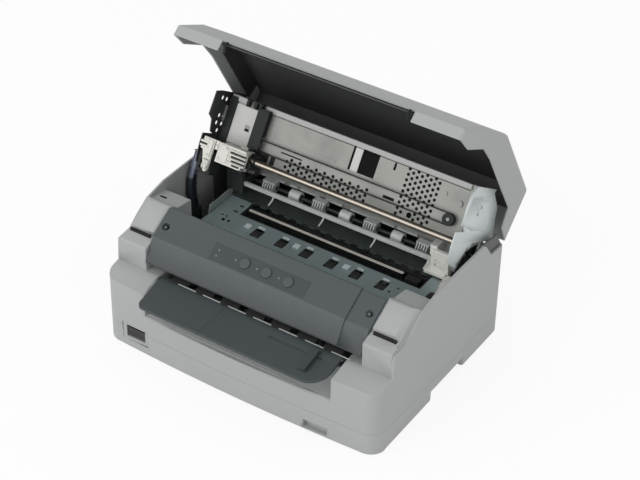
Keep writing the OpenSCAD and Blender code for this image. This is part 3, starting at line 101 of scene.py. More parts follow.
# Light, floor and camera; a lamp is its name, place, size in metres and watts
AMBIENT = 0.70  # the surround's level on the object
FLOOR_SEEN, FLOOR_MIRRORED = 0.88, 0.6  # the share of plain white that the camera and a reflection see of the floor
FLOOR_HALF = 6
LAMPS = (("key", (-0.9, -1.9, 1.2), 1.6, 20), ("fill", (1.9, -0.9, 0.9), 1.5, 5), ("top", (0.1, 0.5, 2.4), 1.4, 4))
LAMPS_AIM = Vector((0, 0, 0.15))
CAMERA_LENS, CAMERA_SENSOR = 106.35, 36
CAMERA_PLACE = (0.9713, CASE_Y - 1.4635, 1.4740)
CAMERA_AXES = ((0.8336, 0.5523, 0.0144), (-0.3431, 0.4971, 0.7970), (0.4330, -0.6693, 0.6038))  # right, up and back


# ---- sizes and colours that a user would change ----

def colour(name, text, rgb):
    return FloatVectorProperty(name=name, description=text, subtype="COLOR", size=3, min=0, max=1, default=rgb)


class PrinterColours(PropertyGroup):
    case: colour("Case", "Grey plastic of the case and the cover", (0.375, 0.385, 0.383))
    panel: colour("Panel", "Slate grey plastic of the control panel", (0.070, 0.083, 0.088))
    tray: colour("Tray", "Dark plastic of the front tray", (0.040, 0.050, 0.053))
    table: colour("Table", "Blue-grey paint of the paper table", (0.33, 0.41, 0.42))
    lever: colour("Lever", "Slate blue plastic of the release lever's upper face", (0.17, 0.19, 0.26))


class PrinterSizes(PropertyGroup):
    edge: FloatProperty(name="Case edge", description="Radius of the case's outer edges", unit="LENGTH", min=0,
                        max=0.006, default=0.003)
    grain: FloatProperty(name="Grain", description="Depth of the moulded grain", unit="LENGTH", min=0, max=0.0005,
                         default=0.00006)


# ---- shader maths ----

class Wire:
    """A shader value that takes part in Python expressions; each operator adds one Math node."""

    def __init__(self, tree, socket):
        self.tree, self.socket = tree, socket

    def math(self, operation, *values):
        node = self.tree.nodes.new("ShaderNodeMath")
        node.operation = operation
        for slot, value in zip(node.inputs, values):
            if isinstance(value, Wire):
                self.tree.links.new(value.socket, slot)
            else:
                slot.default_value = value
        return Wire(self.tree, node.outputs[0])

    def __add__(self, other): return self.math("ADD", self, other)
    def __radd__(self, other): return self.math("ADD", other, self)
    def __sub__(self, other): return self.math("SUBTRACT", self, other)
    def __rsub__(self, other): return self.math("SUBTRACT", other, self)
    def __mul__(self, other): return self.math("MULTIPLY", self, other)
    def __rmul__(self, other): return self.math("MULTIPLY", other, self)
    def __abs__(self): return self.math("ABSOLUTE", self)
    def power(self, other): return self.math("POWER", self, other)
    def wave(self): return self.math("SINE", self)
    def most(self, other): return self.math("MAXIMUM", self, other)

    def step(self, low, high):
        """0 below low, 1 above high and a smooth rise between."""
        node = self.tree.nodes.new("ShaderNodeMapRange")
        node.interpolation_type = "SMOOTHSTEP"
        self.tree.links.new(self.socket, node.inputs["Value"])
        node.inputs["From Min"].default_value, node.inputs["From Max"].default_value = low, high
        return Wire(self.tree, node.outputs[0])


class Paintbox:
    """A material under construction: one Principled shader and what feeds it."""

    def __init__(self, name, **shader):
        self.material = bpy.data.materials.new(name)
        self.material.use_nodes = True
        self.tree = self.material.node_tree
        self.shader = self.tree.nodes["Principled BSDF"]
        for key, value in shader.items():
            self.shader.inputs[key.replace("_", " ")].default_value = value
        self.place = self.tree.nodes.new("ShaderNodeTexCoord").outputs["Object"]

    def node(self, kind, settings=None, **inputs):
        node = self.tree.nodes.new(kind)
        for key, value in (settings or {}).items():
            setattr(node, key, value)
        for key, value in inputs.items():
            socket = node.inputs[key.replace("_", " ")]
            self.feed(socket, value)
        return node

    def feed(self, socket, value):
        if isinstance(value, Wire):
            value = value.socket
        if isinstance(value, bpy.types.NodeSocket):
            self.tree.links.new(value, socket)
        else:
            socket.default_value = value

    def stretched(self, scale):
        return self.node("ShaderNodeMapping", Vector=self.place, Scale=scale).outputs[0]

    def axes(self):
        parts = self.node("ShaderNodeSeparateXYZ", Vector=self.place)
        return [Wire(self.tree, parts.outputs[i]) for i in range(3)]

    def noise(self, scale, detail=3.0, rough=0.5, place=None):
        node = self.node("ShaderNodeTexNoise", Vector=place or self.place, Scale=scale, Detail=detail, Roughness=rough)
        return Wire(self.tree, node.outputs[0])

    def cells(self, scale, feature="F1", output=0, random=1.0):
        node = self.node("ShaderNodeTexVoronoi", {"feature": feature}, Vector=self.place, Scale=scale,
                         Randomness=random)
        return Wire(self.tree, node.outputs[output])

    def blend(self, factor, low, high):
        node = self.tree.nodes.new("ShaderNodeMix")
        node.data_type = "RGBA"
        self.feed(node.inputs["Factor"], factor)
        for socket, value in zip([s for s in node.inputs if s.type == "RGBA"], (low, high)):
            self.feed(socket, value if isinstance(value, bpy.types.NodeSocket) else (*value, 1))
        return [s for s in node.outputs if s.type == "RGBA"][0]

    def base(self, value):
        self.feed(self.shader.inputs["Base Color"], value)

    def rough(self, value):
        self.feed(self.shader.inputs["Roughness"], value)

    def relief(self, height, depth):
        """The height is 0 to 1 and the depth its size in metres."""
        bump = self.node("ShaderNodeBump", Strength=1.0, Distance=depth, Height=height)
        self.feed(self.shader.inputs["Normal"], bump.outputs[0])
        return self.material


def shade(rgb, k):
    """The colour made lighter or darker by a factor."""
    return tuple(min(1, c * k) for c in rgb)


# ---- finishes ----

def grained_plastic(name, rgb, grain, fine=1500, gloss=0.52, spread=0.035, foot=None):
    """Spark-eroded moulded plastic: two sizes of grain, a slow change of tone and rubbed, slightly shinier patches.

    A foot (low, high, share) darkens it towards the height low: painted shade for the lower faces, which the light from
    above reaches less.
    """
    p = Paintbox(name, Specular_IOR_Level=0.42)
    slow = p.noise(7, 2)
    speck = p.noise(fine * 0.8, 2)
    rub = p.noise(38, 5, 0.65).step(0.5, 0.78)
    tone = slow * 0.7 + speck * 0.3
    body = p.blend(tone, shade(rgb, 1 - spread * 2), shade(rgb, 1 + spread * 2))
    if foot:
        # painted shade: the colour falls to the foot's share towards its low height
        body = p.blend(p.axes()[2].step(foot[0], foot[1]), shade(rgb, foot[2]), body)
    p.base(body)
    p.rough(gloss + 0.1 * speck - 0.07 * rub)
    return p.relief(p.noise(fine, 3, 0.6) * 0.7 + p.cells(fine * 0.55) * 0.3, grain)


def tray_plastic(name, rgb, grain):
    """The tray's dark plastic, with faint moulded lines across it and fine dust that shows on dark plastic."""
    p = Paintbox(name, Specular_IOR_Level=0.45)
    x, y, z = p.axes()
    dust = p.noise(900, 4, 0.7).step(0.56, 0.7) * p.noise(22, 3).step(0.4, 0.7)
    p.base(p.blend(dust * 0.35 + p.noise(9, 2) * 0.25, shade(rgb, 0.88), shade(rgb, 1.9)))
    p.rough(0.46 + 0.14 * p.noise(60, 4) + 0.05 * dust)
    lean = x + 0.032 + (y - (CASE_Y - 0.109)) * -0.14
    seam = 1 - abs(lean).step(0.0002, 0.0007)
    fold = 1 - abs(x - 0.0255 + (y - (CASE_Y - 0.13)) * 0.1).step(0.0002, 0.0012)
    return p.relief(p.noise(1500, 3, 0.6) * 0.12 - seam * 0.9 - fold * 0.25, 0.0005)


def zinc_sheet(name, rgb, gloss=0.34, spangle=90, metal=0.85):
    """Zinc-plated sheet: flat crystals of slightly different tone, rolling marks along X and a few dull smears."""
    p = Paintbox(name)
    flake = p.cells(spangle, output=1)
    tint = p.node("ShaderNodeSeparateColor", Color=flake)
    lot = Wire(p.tree, tint.outputs[0])
    rolled = p.noise(60, 4, 0.6, p.stretched((1, 14, 14)))
    smear = p.noise(16, 4, 0.6).step(0.48, 0.75)
    p.base(p.blend(lot * 0.5 + rolled * 0.5, shade(rgb, 0.84), shade(rgb, 1.1)))
    p.feed(p.shader.inputs["Metallic"], metal - 0.2 * smear)
    p.rough(gloss + 0.12 * smear + 0.1 * rolled + 0.06 * lot)
    return p.relief(rolled, 0.00003)


def painted_sheet(name, rgb, gloss=0.4, metal=0.0, spec=0.5):
    """Stoved paint on sheet steel: orange peel, rubbed lanes where paper runs and small chips."""
    p = Paintbox(name, Specular_IOR_Level=spec, Metallic=metal)
    peel = p.noise(420, 2, 0.5)
    lane = p.noise(30, 4, 0.6, p.stretched((1, 0.12, 0.12))).step(0.45, 0.75)
    chip = p.noise(260, 5, 0.75).step(0.70, 0.74)
    body = p.blend(p.noise(11, 2) * 0.6 + lane * 0.4, shade(rgb, 0.9), shade(rgb, 1.14))
    p.base(p.blend(chip * 0.35, body, BARE_STEEL))
    p.rough(gloss + 0.1 * peel - 0.08 * lane)
    return p.relief(peel - chip * 0.6, 0.00005)


def two_tone(name, left, right):
    """Dark sheet in the left half of the machine and white engineering plastic in the right."""
    p = Paintbox(name, Specular_IOR_Level=0.45)
    across = p.axes()[0].step(-0.002, 0.002)
    grime = p.noise(70, 5, 0.7).step(0.56, 0.8)
    white = p.blend(grime * 0.4, right, shade(right, 0.72))
    p.base(p.blend(across, left, white))
    p.rough(0.42 + 0.14 * grime)
    return p.relief(p.noise(300, 2), 0.00006)


def topped(name, rgb, z, low=(0.012, 0.013, 0.013)):
    """Dark below the height z and bright above it; on the lever the dark lower part is painted shade where its face
    turns down from the light.
    """
    p = Paintbox(name, Specular_IOR_Level=0.4)
    wear = p.noise(30, 4, 0.6, p.stretched((0.2, 1, 1)))
    top = p.axes()[2].step(z, z + 0.0002)
    p.base(p.blend(top, low, p.blend(wear, shade(rgb, 0.85), shade(rgb, 1.12))))
    p.rough(0.34 + 0.12 * wear)
    return p.relief(p.noise(400, 2), 0.00003)


def well_shaded_plastic(name, rgb, grain):
    """The case's grained plastic, darker on the walls that look into the machine, as painted shade."""
    p = Paintbox(name, Specular_IOR_Level=0.35)
    cell = p.cells(1500, "SMOOTH_F1")
    cloud = p.noise(9, 3, 0.55)
    x, y, z = p.axes()
    # painted shade: between the inner walls the case takes about a quarter of its colour
    between = 1.0 - x.power(2.0).step(WELL_HALF ** 2 - 0.00004, WELL_HALF ** 2)
    deep = between * y.step(WELL_FRONT - 0.0005, WELL_FRONT + 0.0005)
    deep = deep * (1.0 - y.step(WELL_REAR - 0.0004, WELL_REAR + 0.0004))
    outer = p.blend(cloud, shade(rgb, 0.97), shade(rgb, 1.035))
    p.base(p.blend(deep, outer, p.blend(cloud, shade(rgb, 0.24), shade(rgb, 0.32))))
    p.rough(0.52 + 0.1 * p.noise(600, 3))
    return p.relief(cell, grain)


def roller_stack(name, rgb, axis_y, axis_z, radius):
    """White rollers on a dark axle, told apart by the distance from the axle's line."""
    p = Paintbox(name, Specular_IOR_Level=0.5)
    x, y, z = p.axes()
    away = ((y - axis_y).power(2.0) + (z - axis_z).power(2.0)).power(0.5)
    grime = p.noise(70, 5, 0.7).step(0.5, 0.8)
    white = p.blend(grime * 0.4, rgb, shade(rgb, 0.75))
    p.base(p.blend(away.step(radius - 0.0003, radius), (0.03, 0.035, 0.035), white))
    p.rough(0.4 + 0.14 * grime)
    return p.relief(p.noise(300, 2), 0.00006)


def ground_rod(name, rgb):
    """A ground and oiled steel rod: fine rings round it and patches of oil."""
    p = Paintbox(name, Metallic=0.95)
    rings = p.noise(900, 3, 0.6, p.stretched((1, 0.05, 0.05)))
    oil = p.noise(14, 3, 0.6).step(0.4, 0.7)
    p.base(p.blend(rings * 0.5 + oil * 0.5, shade(rgb, 0.8), shade(rgb, 1.15)))
    p.rough(0.2 + 0.12 * rings + 0.1 * oil)
    return p.relief(rings, 0.00001)


def white_moulding(name, rgb):
    """White engineering plastic: flow marks, a little grime in patches and small sink marks."""
    p = Paintbox(name, Specular_IOR_Level=0.5)
    grime = p.noise(70, 5, 0.7).step(0.56, 0.8)
    flow = p.noise(25, 3, 0.5, p.stretched((1, 3, 1)))
    p.base(p.blend(grime * 0.45 + flow * 0.2, rgb, shade(rgb, 0.72)))
    p.rough(0.42 + 0.16 * grime + 0.06 * flow)
    return p.relief(flow * 0.5 + p.noise(300, 2) * 0.5, 0.00008)


def milky_plastic(name, rgb, cover=0.7):
    """Half clear plastic: pale, glossy, with flow marks that let more or less light through."""
    p = Paintbox(name, Specular_IOR_Level=0.6, Coat_Weight=0.2)
    flow = p.noise(45, 3, 0.6)
    p.base(p.blend(flow, shade(rgb, 0.86), rgb))
    p.rough(0.22 + 0.12 * flow)
    p.feed(p.shader.inputs["Alpha"], cover + 0.2 * flow)
    return p.relief(flow, 0.0001)


def rubber_skin(name, rgb):
    """Ground rubber: a fine open grain with paper dust in it."""
    p = Paintbox(name, Specular_IOR_Level=0.35)
    pores = p.noise(1300, 4, 0.7)
    dust = p.noise(120, 4, 0.7).step(0.52, 0.78)
    p.base(p.blend(dust * 0.5 + pores * 0.2, rgb, shade(rgb, 2.6)))
    p.rough(0.62 + 0.2 * pores)
    return p.relief(pores, 0.00012)


def foam_skin(name, rgb):
    """Open foam or felt: deep pores, no shine."""
    p = Paintbox(name, Specular_IOR_Level=0.15)
    pores = p.cells(900) * 0.6 + p.noise(2200, 3, 0.8) * 0.4
    p.base(p.blend(pores, shade(rgb, 0.5), shade(rgb, 2.2)))
    p.rough(0.92)
    return p.relief(pores, 0.0005)


def lining_plastic(name, rgb):
    """The cover's lining: thin dark sheet with a coarse leathery grain and greyish sheen."""
    p = Paintbox(name, Specular_IOR_Level=0.5)
    grain = p.cells(650) * 0.6 + p.noise(900, 3) * 0.4
    slow = p.noise(6, 2)
    p.base(p.blend(slow * 0.6 + grain * 0.4, shade(rgb, 0.75), shade(rgb, 1.35)))
    p.rough(0.5 + 0.12 * grain)
    return p.relief(grain, 0.00018)


def film(name, rgb, spec=0.45):
    """A thin printed film: smooth, with the finest matt texture."""
    p = Paintbox(name, Specular_IOR_Level=spec)
    fine = p.noise(2500, 2)
    p.base(p.blend(p.noise(20, 2), shade(rgb, 0.93), shade(rgb, 1.08)))
    p.rough(0.36 + 0.08 * fine)
    return p.relief(fine, 0.00002)


def lens(name, rgb):
    """A small clear lamp lens over a pale chip."""
    p = Paintbox(name, Specular_IOR_Level=0.6, Coat_Weight=0.6)
    core = p.cells(700)
    p.base(p.blend(core, shade(rgb, 1.1), shade(rgb, 0.6)))
    p.rough(0.14 + 0.1 * core)
    return p.relief(core, 0.0001)


def laminate(name, rgb):
    """A circuit board: tracks in the lacquer and paler pads."""
    p = Paintbox(name, Specular_IOR_Level=0.55)
    x, y, z = p.axes()
    track = (x * 900).wave().step(0.2, 0.5) * p.noise(90, 1).step(0.45, 0.5)
    pads = 1 - p.cells(240, random=0.3).step(0.10, 0.16)
    green = p.blend(track, shade(rgb, 0.8), shade(rgb, 1.5))
    p.base(p.blend(pads, green, (0.62, 0.6, 0.5)))
    p.rough(0.34 + 0.1 * p.noise(60, 3))
    return p.relief(track * 0.4 + pads * 0.6, 0.00006)


def make_finishes(c, s):
    """The finishes: one under the name of each slot that shows, and more for the pieces that name their own."""
    kinds = {
        "case_grey": (grained_plastic, c.case, s.grain),
        # darker towards the panel's lower edge: painted shade
        "panel_grey": (grained_plastic, c.panel, s.grain * 0.8, 1700, 0.44, 0.03, (0.110, 0.1415, 0.62)),
        "inlay_dark": (film, shade(c.panel, 0.72)),
        "button_grey": (grained_plastic, shade(c.panel, 1.05), s.grain * 0.4, 2000, 0.36, 0.02),
        "lamp": (lens, (0.20, 0.22, 0.20)),
        "tray_grey": (tray_plastic, c.tray, s.grain),
        "black_plastic": (grained_plastic, (0.022, 0.022, 0.023), s.grain, 1300, 0.42, 0.08),
        "foam": (foam_skin, (0.018, 0.018, 0.018)),
        "rubber": (rubber_skin, (0.02, 0.02, 0.021)),
        "sheet_steel": (zinc_sheet, (0.60, 0.62, 0.62)),
        "table_paint": (painted_sheet, c.table, 0.3, 0.35),
        "dark_paint": (painted_sheet, (0.014, 0.017, 0.016), 0.5, 0.0, 0.2),
        "plate_dark": (painted_sheet, (0.040, 0.042, 0.045), 0.42),
        "back_paint": (zinc_sheet, (0.33, 0.335, 0.31), 0.45, 60, 0.35),
        "white_plastic": (white_moulding, (0.70, 0.69, 0.64)),
        "clear_plastic": (milky_plastic, (0.80, 0.84, 0.83)),
        "ground_steel": (ground_rod, (0.34, 0.305, 0.26)),
        "right_zinc": (painted_sheet, (0.60, 0.65, 0.65), 0.42, 0.1),
        "brass": (zinc_sheet, (0.62, 0.42, 0.16), 0.28, 400, 0.95),
        "motor_metal": (zinc_sheet, (0.16, 0.16, 0.165), 0.4, 120, 0.7),
        "board": (laminate, (0.02, 0.12, 0.045)),
        # the upper case, with painted shade on the walls inside it
        "upper_skin": (well_shaded_plastic, c.case, s.grain),
        # the lever's lower part takes the dark colour as painted shade
        "lever_face": (topped, c.lever, 0.1435, (0.035, 0.046, 0.056)),
        "rear_paint": (painted_sheet, (0.05, 0.064, 0.058), 0.4, 0.2),
        "tab_paint": (film, (0.60, 0.68, 0.69)),
        "end_blocks": (two_tone, (0.035, 0.042, 0.040), (0.90, 0.89, 0.84)),
        "rollers": (roller_stack, (0.80, 0.83, 0.82), CASE_Y + 0.093, 0.1215, 0.0045),
        # painted highlight: light grey for the lit edges of the slot's lip and the lit band of the back plate's top
        # flange
        "bright_edge": (film, (0.42, 0.43, 0.42)),
        "platen_steel": (topped, (0.60, 0.57, 0.51), 0.1116),
        "card_white": (film, (0.60, 0.61, 0.59)),
        # painted shade: near black inside holes, slots and recesses
        "hole_black": (film, (0.006, 0.006, 0.006), 0.04),
        "shadow_grey": (film, (0.018, 0.022, 0.021), 0.15),
        "beam_grey": (milky_plastic, (0.62, 0.65, 0.64), 0.85),
        "ribbon_red": (film, (0.10, 0.055, 0.045)),
        "lining": (lining_plastic, (0.042, 0.045, 0.043)),
    }
    FINISH.update({name: make(name, *values) for name, (make, *values) in kinds.items()})


# ---- pieces ----

def outline_of(node):
    """A copy of a CAD solid's mesh, merged, with its flat faces whole again."""
    bm = bmesh.new()
    bm.from_mesh(frame["nodes"][node].data)
    bmesh.ops.remove_doubles(bm, verts=bm.verts, dist=2e-6)
    bmesh.ops.dissolve_degenerate(bm, dist=1e-6, edges=bm.edges)
    bmesh.ops.dissolve_limit(bm, angle_limit=math.radians(0.4), verts=bm.verts, edges=bm.edges,
                             use_dissolve_boundaries=False)
    mesh = bpy.data.meshes.new(node + "_skin")
    bm.to_mesh(mesh)
    bm.free()
    return mesh


def new_object(name, data):
    """A new object in the scene."""
    obj = bpy.data.objects.new(name, data)
    bpy.context.scene.collection.objects.link(obj)
    return obj


def shade_folds(mesh, angle=CREASE, smooth=True):
    """Shades faces round up to the fold angle, or all of them flat."""
    mesh.polygons.foreach_set("use_smooth", np.full(len(mesh.polygons), smooth))
    mesh.set_sharp_from_angle(angle=angle)


def ready(obj, body, slot, finish=None, stands_for=()):
    """Puts a finished piece on its body, with the finish given or else the one named after its slot."""
    obj.data.materials.clear()
    obj.data.materials.append(FINISH[finish or slot])
    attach(obj, body)
    if stands_for:
        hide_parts(*stands_for)
    return obj


def edge_radii(mesh, radius, soft, angle):
    """Bevel width of each outer edge: its radius, but never over EDGE_SHARE of the room that its neighbours leave.

    Beside a plain edge that room is its length times the sine of the angle between the two. Two rounded edges
    meet at the width over the tangent of half their angle, which has to stay on both. Inner corners stay sharp.
    """
    bm = bmesh.new()
    bm.from_mesh(mesh)
    bm.normal_update()
    round_edge = [len(e.link_faces) == 2 and e.is_convex and e.calc_face_angle(0) >= angle for e in bm.edges]
    width = np.zeros(len(bm.edges))
    runs = []
    for edge in bm.edges:
        if not round_edge[edge.index]:
            continue
        middle = (edge.verts[0].co + edge.verts[1].co) / 2
        want = radius
        for low, high, size in soft:
            if all(a <= c <= b for a, c, b in zip(low, middle, high)):
                want = size
        for face in edge.link_faces:
            for other in face.edges:
                shared = set(other.verts) & set(edge.verts)
                if other == edge or len(shared) != 1:
                    continue
                corner = shared.pop()
                here = edge.other_vert(corner).co - corner.co
                there = other.other_vert(corner).co - corner.co
                turn = min(here.angle(there, 0), 3.0)
                if round_edge[other.index]:
                    want = min(want, EDGE_SHARE * min(here.length, there.length) * math.tan(turn / 2))
                    if turn > RUN_ON:
                        runs.append((edge.index, other.index))
                else:
                    want = min(want, EDGE_SHARE * there.length * math.sin(turn))
        width[edge.index] = want
    ends = np.array([[v.index for v in e.verts] for e in bm.edges])
    bm.free()
    return width, ends, np.array(runs or [(0, 0)]).T


def evened(width, runs):
    """Edges that run on in one smooth line get the least width of the line."""
    while True:
        least = width.copy()
        np.minimum.at(least, runs[0], width[runs[1]])
        if np.array_equal(least, width):
            return np.where(width < LEAST_EDGE, 0, width)
        width = least


def strays(obj, skin, most):
    """Corners of the rounded mesh that lie outside the solid or too deep in it."""
    mesh = obj.evaluated_get(bpy.context.evaluated_depsgraph_get()).to_mesh()
    found = []
    for corner in mesh.vertices:
        near, normal, _, depth = skin.find_nearest(corner.co)
        if (corner.co - near).dot(normal) > PROUD or depth > SUNK * most:
            found.append(corner.co.copy())
    return found


def rounded(node, radius, segments=2, finish=None, angle=28, soft=(), bend=None):
    """The CAD solid again, with its edges rounded to the radius, or to that of the soft box that they lie in.

    Edges folded by more than bend degrees are rounded, or by more than angle, which also parts the shading.
    Where a corner strays, the edges that meet there get half their width and the rounding is tried again.
    """
    mesh = outline_of(node)
    shade_folds(mesh, math.radians(angle))
    width, ends, runs = edge_radii(mesh, radius, soft, math.radians(bend or angle))
    width = evened(width, runs)
    most = max(float(width.max()), 1e-6)
    mesh.attributes.new("bevel_weight_edge", "FLOAT", "EDGE")
    obj = new_object(node + "_moulding", mesh)
    bevel = obj.modifiers.new("edges", "BEVEL")
    bevel.width, bevel.segments, bevel.limit_method = most, segments, "WEIGHT"
    bevel.harden_normals, bevel.use_clamp_overlap = True, False
    skin = BVHTree.FromPolygons([v.co for v in mesh.vertices], [p.vertices for p in mesh.polygons])
    corners = KDTree(len(mesh.vertices))
    for corner in mesh.vertices:
        corners.insert(corner.co, corner.index)
    corners.balance()
    for _ in range(ROUNDING_TRIES):
        weight = mesh.attributes["bevel_weight_edge"]
        weight.data.foreach_set("value", (width / most).astype(np.float32))
        mesh.update()
        found = strays(obj, skin, most)
        if not found:
            break
        near = {index for place in found for _, index, _ in corners.find_n(place, 2)}
        width[np.isin(ends, list(near)).any(1)] *= 0.5
        width = evened(width, runs)
    bevel.use_clamp_overlap = bool(found)
    return ready(obj, frame["nodes"][node]["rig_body"], SLOT_OF[node], finish, (node,))


def round_off(*nodes):
    """Rounds each node as its line of EDGES says."""
    for node in nodes:
        rounded(node, *EDGES[node])


def creased(*nodes, finish=None, smooth=True):
    """CAD sheets and plates again, merged; their bends shade round, or all their faces flat."""
    for node in nodes:
        mesh = outline_of(node)
        shade_folds(mesh, smooth=smooth)
        ready(new_object(node + "_sheet", mesh), frame["nodes"][node]["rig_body"], SLOT_OF[node], finish, (node,))


def plain(*nodes, finish=None):
    """CAD solids that keep their mesh and only take their finish."""
    for node in nodes:
        obj = frame["nodes"][node]
        for slot in obj.material_slots:
            slot.material = FINISH[finish or SLOT_OF[node]]


def closed_mesh(points, angle):
    """A closed body from its sections (sections, points round each, 3): walls from one to the next, and two ends."""
    rows, columns = points.shape[:2]
    mesh = bpy.data.meshes.new("section_body")
    i, j = np.meshgrid(np.arange(rows - 1), np.arange(columns), indexing="ij")
    a, b = i * columns + j, (i + 1) * columns + j
    c, d = (i + 1) * columns + (j + 1) % columns, i * columns + (j + 1) % columns
    faces = np.stack([a, d, c, b], -1).reshape(-1, 4).tolist()
    faces += [list(range(columns)), list(range((rows - 1) * columns, rows * columns))[::-1]]
    mesh.from_pydata(placed(points, angle).reshape(-1, 3).tolist(), [], faces)
    mesh.validate()
    return mesh


def joined(name, meshes):
    """Several meshes as one, with outward normals."""
    bm = bmesh.new()
    for m in meshes:
        bm.from_mesh(m)
        bpy.data.meshes.remove(m)
    bmesh.ops.remove_doubles(bm, verts=bm.verts, dist=1e-7)
    bmesh.ops.recalc_face_normals(bm, faces=bm.faces)
    mesh = bpy.data.meshes.new(name)
    bm.to_mesh(mesh)
    bm.free()
    return mesh


def piece(name, parts, body, slot, finish=None, edge=0.0, stands_for=()):
    """One object on a body from the sections of its parts, with its edges rounded to the size in metres."""
    mesh = joined(name, [closed_mesh(sections, OPENED.get(body)) for sections in parts])
    shade_folds(mesh)
    obj = new_object(name, mesh)
    if edge:
        bevel = obj.modifiers.new("edges", "BEVEL")
        bevel.width, bevel.segments, bevel.limit_method = edge, 2, "ANGLE"
        bevel.angle_limit, bevel.harden_normals, bevel.use_clamp_overlap = CREASE, True, True
    return ready(obj, body, slot, finish, stands_for)


def turned_frame(angle):
    """The matrix that takes a place on the closed printer (case axes, mm) to the frame, opened by the angle."""
    turn = Matrix.Rotation(-angle, 4, "X")
    lift = Matrix.Translation((0, HINGE.y, HINGE.z)) @ turn @ Matrix.Translation((0, -HINGE_BACK, -HINGE.z))
    return lift @ Matrix.Scale(MM, 4)


def placed(points, angle):
    """Points in mm on the closed printer, taken to the frame in metres and opened by the angle."""
    m = np.array(turned_frame(angle) if angle else Matrix.Translation((0, CASE_Y, 0)) @ Matrix.Scale(MM, 4))
    return points @ m[:3, :3].T + m[:3, 3]


def lathe(profile, centre, axis, around=20):
    """A turned part: the profile (distance along the axis, radius) goes round the axis.

    P = c + s a + r (u cos t + v sin t), with u and v square to the axis a.
    """
    a = np.array(axis, float) / np.linalg.norm(axis)
    u = np.cross(a, (0.3, 0.5, 0.81))
    u /= np.linalg.norm(u)
    v = np.cross(a, u)
    t = np.linspace(0, 2 * np.pi, around, endpoint=False)
    s, r = np.array(profile, float).T
    ring = u[None] * np.cos(t)[:, None] + v[None] * np.sin(t)[:, None]
    return np.array(centre, float) + s[:, None, None] * a + r[:, None, None] * ring[None]


def blocks(boxes):
    """A block for each box, which is its low and its high corner: a rectangle at its foot and at its top."""
    return [np.array([[(x0, y0, z), (x1, y0, z), (x1, y1, z), (x0, y1, z)] for z in (z0, z1)], float)
            for (x0, y0, z0), (x1, y1, z1) in boxes]


def slab(outline, low, high, along="y"):
    """A flat plate: its outline, (x, z) in mm for a plate along y or (y, z) along x, carried from low to high."""
    a, b = np.array(outline, float).T
    ends = np.array([low, high], float)[:, None] + 0 * a
    first, second = np.broadcast_to(a, ends.shape), np.broadcast_to(b, ends.shape)
    return np.stack((first, ends, second) if along == "y" else (ends, first, second), -1)


def strap(path, x0, x1, thick):
    """A band along a path in (y, z), from x0 to x1: the path, and the path moved by thick along its normal."""
    p = smooth_line(path)
    d = np.gradient(p, axis=0)
    n = np.stack([-d[:, 1], d[:, 0]], -1) / np.linalg.norm(d, axis=1, keepdims=True)
    rows = [(x0, p), (x1, p), (x1, p + thick * n), (x0, p + thick * n)]
    return np.stack([np.concatenate([np.full((len(p), 1), x), q], 1) for x, q in rows], 1)


def smooth_line(path):
    """Five points for each stretch of a cubic curve through the path's points.

    At each point it runs as the line from the point before to the one after does.
    """
    p = np.array(path, float)
    p = np.concatenate([[2 * p[0] - p[1]], p, [2 * p[-1] - p[-2]]])
    t = np.linspace(0, 1, 5, endpoint=False)[:, None, None]
    a, b, c, d = p[:-3], p[1:-2], p[2:-1], p[3:]
    curve = 0.5 * (2 * b + (c - a) * t + (2 * a - 5 * b + 4 * c - d) * t ** 2 + (3 * b - a - 3 * c + d) * t ** 3)
    return np.concatenate([curve.transpose(1, 0, 2).reshape(-1, p.shape[1]), p[-2:-1]])


def screw_heads(places, axis, radius):
    """Pan heads: a flat ring that rounds over into a dished middle."""
    profile = [(0, radius), (0.5, radius), (1.0, radius * 0.82), (1.15, radius * 0.5), (0.7, radius * 0.4), (0.7, 0.05)]
    return [lathe(profile, place, axis, 14) for place in places]


# ---- edges, places and outlines ----
# Places are in mm on the closed printer: x from its middle, y from its case's middle to the rear and z from the desk.
# A box is its low and its high corner, a slab its outline and its two ends along y or x, a strap its path, its two
# ends along x and its thickness, a turned part its profile, centre and axis, and a set of screws its places, axis and
# radius.

# Radius in metres and segments of rounded edges, with a finish that isn't the slot's, and the nodes that have them
EDGE_GROUPS = {
    (0.0006, 2): "seal_strips guide_bar guide_combs pressure_beam switch_frame",
    (0.0035, 4): "control_panel",
    (0.0009, 3): "push_button_left push_button_middle push_button_right",
    (0.0015, 3): "front_tray",
    (0.0008, 3, "tray_grey"): "edge_guide",
    (0.0004, 2, "tab_paint"): "table_tabs",
    (0.0005, 2): "paper_table left_frame right_frame hinge_brackets power_rocker unit_left_plate screen_post "
                 "carriage_motor",
    (0.0006, 2, "platen_steel"): "platen_bar",
    (0.0012, 3, "end_blocks"): "guide_blocks",
    (0.0005, 2, "rollers"): "pressure_rollers",
    (0.0006, 2, "lining"): "cover_liner",
    (0.0003, 2, "card_white"): "unit_screens",
    (0.0003, 2, "motor_metal"): "motor_pulley",
    (0.0003, 2, "shadow_grey"): "idler_pulley",
    (0.0006, 2, "shadow_grey"): "ribbon_bracket",
    (0.0007, 2): "carriage",
    (0.0003, 1): "print_head",
}
EDGES = {node: edge for edge, nodes in EDGE_GROUPS.items() for node in nodes.split()}
UPPER_EDGE, COVER_EDGE = 1.4, 1.7  # the upper case's and the cover's edge over the lower case's
# The foam strips' grooves in the upper case keep sharp edges: boxes in the frame's metres, with the radius 0
FOAM_GROOVES = [((x, -0.1095, 0.128), (x + 0.062, -0.1025, 0.1425), 0.0) for x in (-0.191, 0.129)]

# Case, panel and tray
# a dark slot in the top of the case: painted shade in its recess
CASE_SLOT = [((-182.5, -33.6, 149.8), (-173.5, -30.8, 150.95))]
PANEL_SCREWS = (((-140.3, -76.9, 149.2), (141.1, -76.9, 149.2)), (0, -0.52, 0.85), 1.9)
# light strips along the slot's lip: painted highlights
LIP_HIGHLIGHTS = [((x, -107.9, 101.6), (x + 25, -107.2, 102.8)) for x in np.arange(7) * 35.5 - 101]
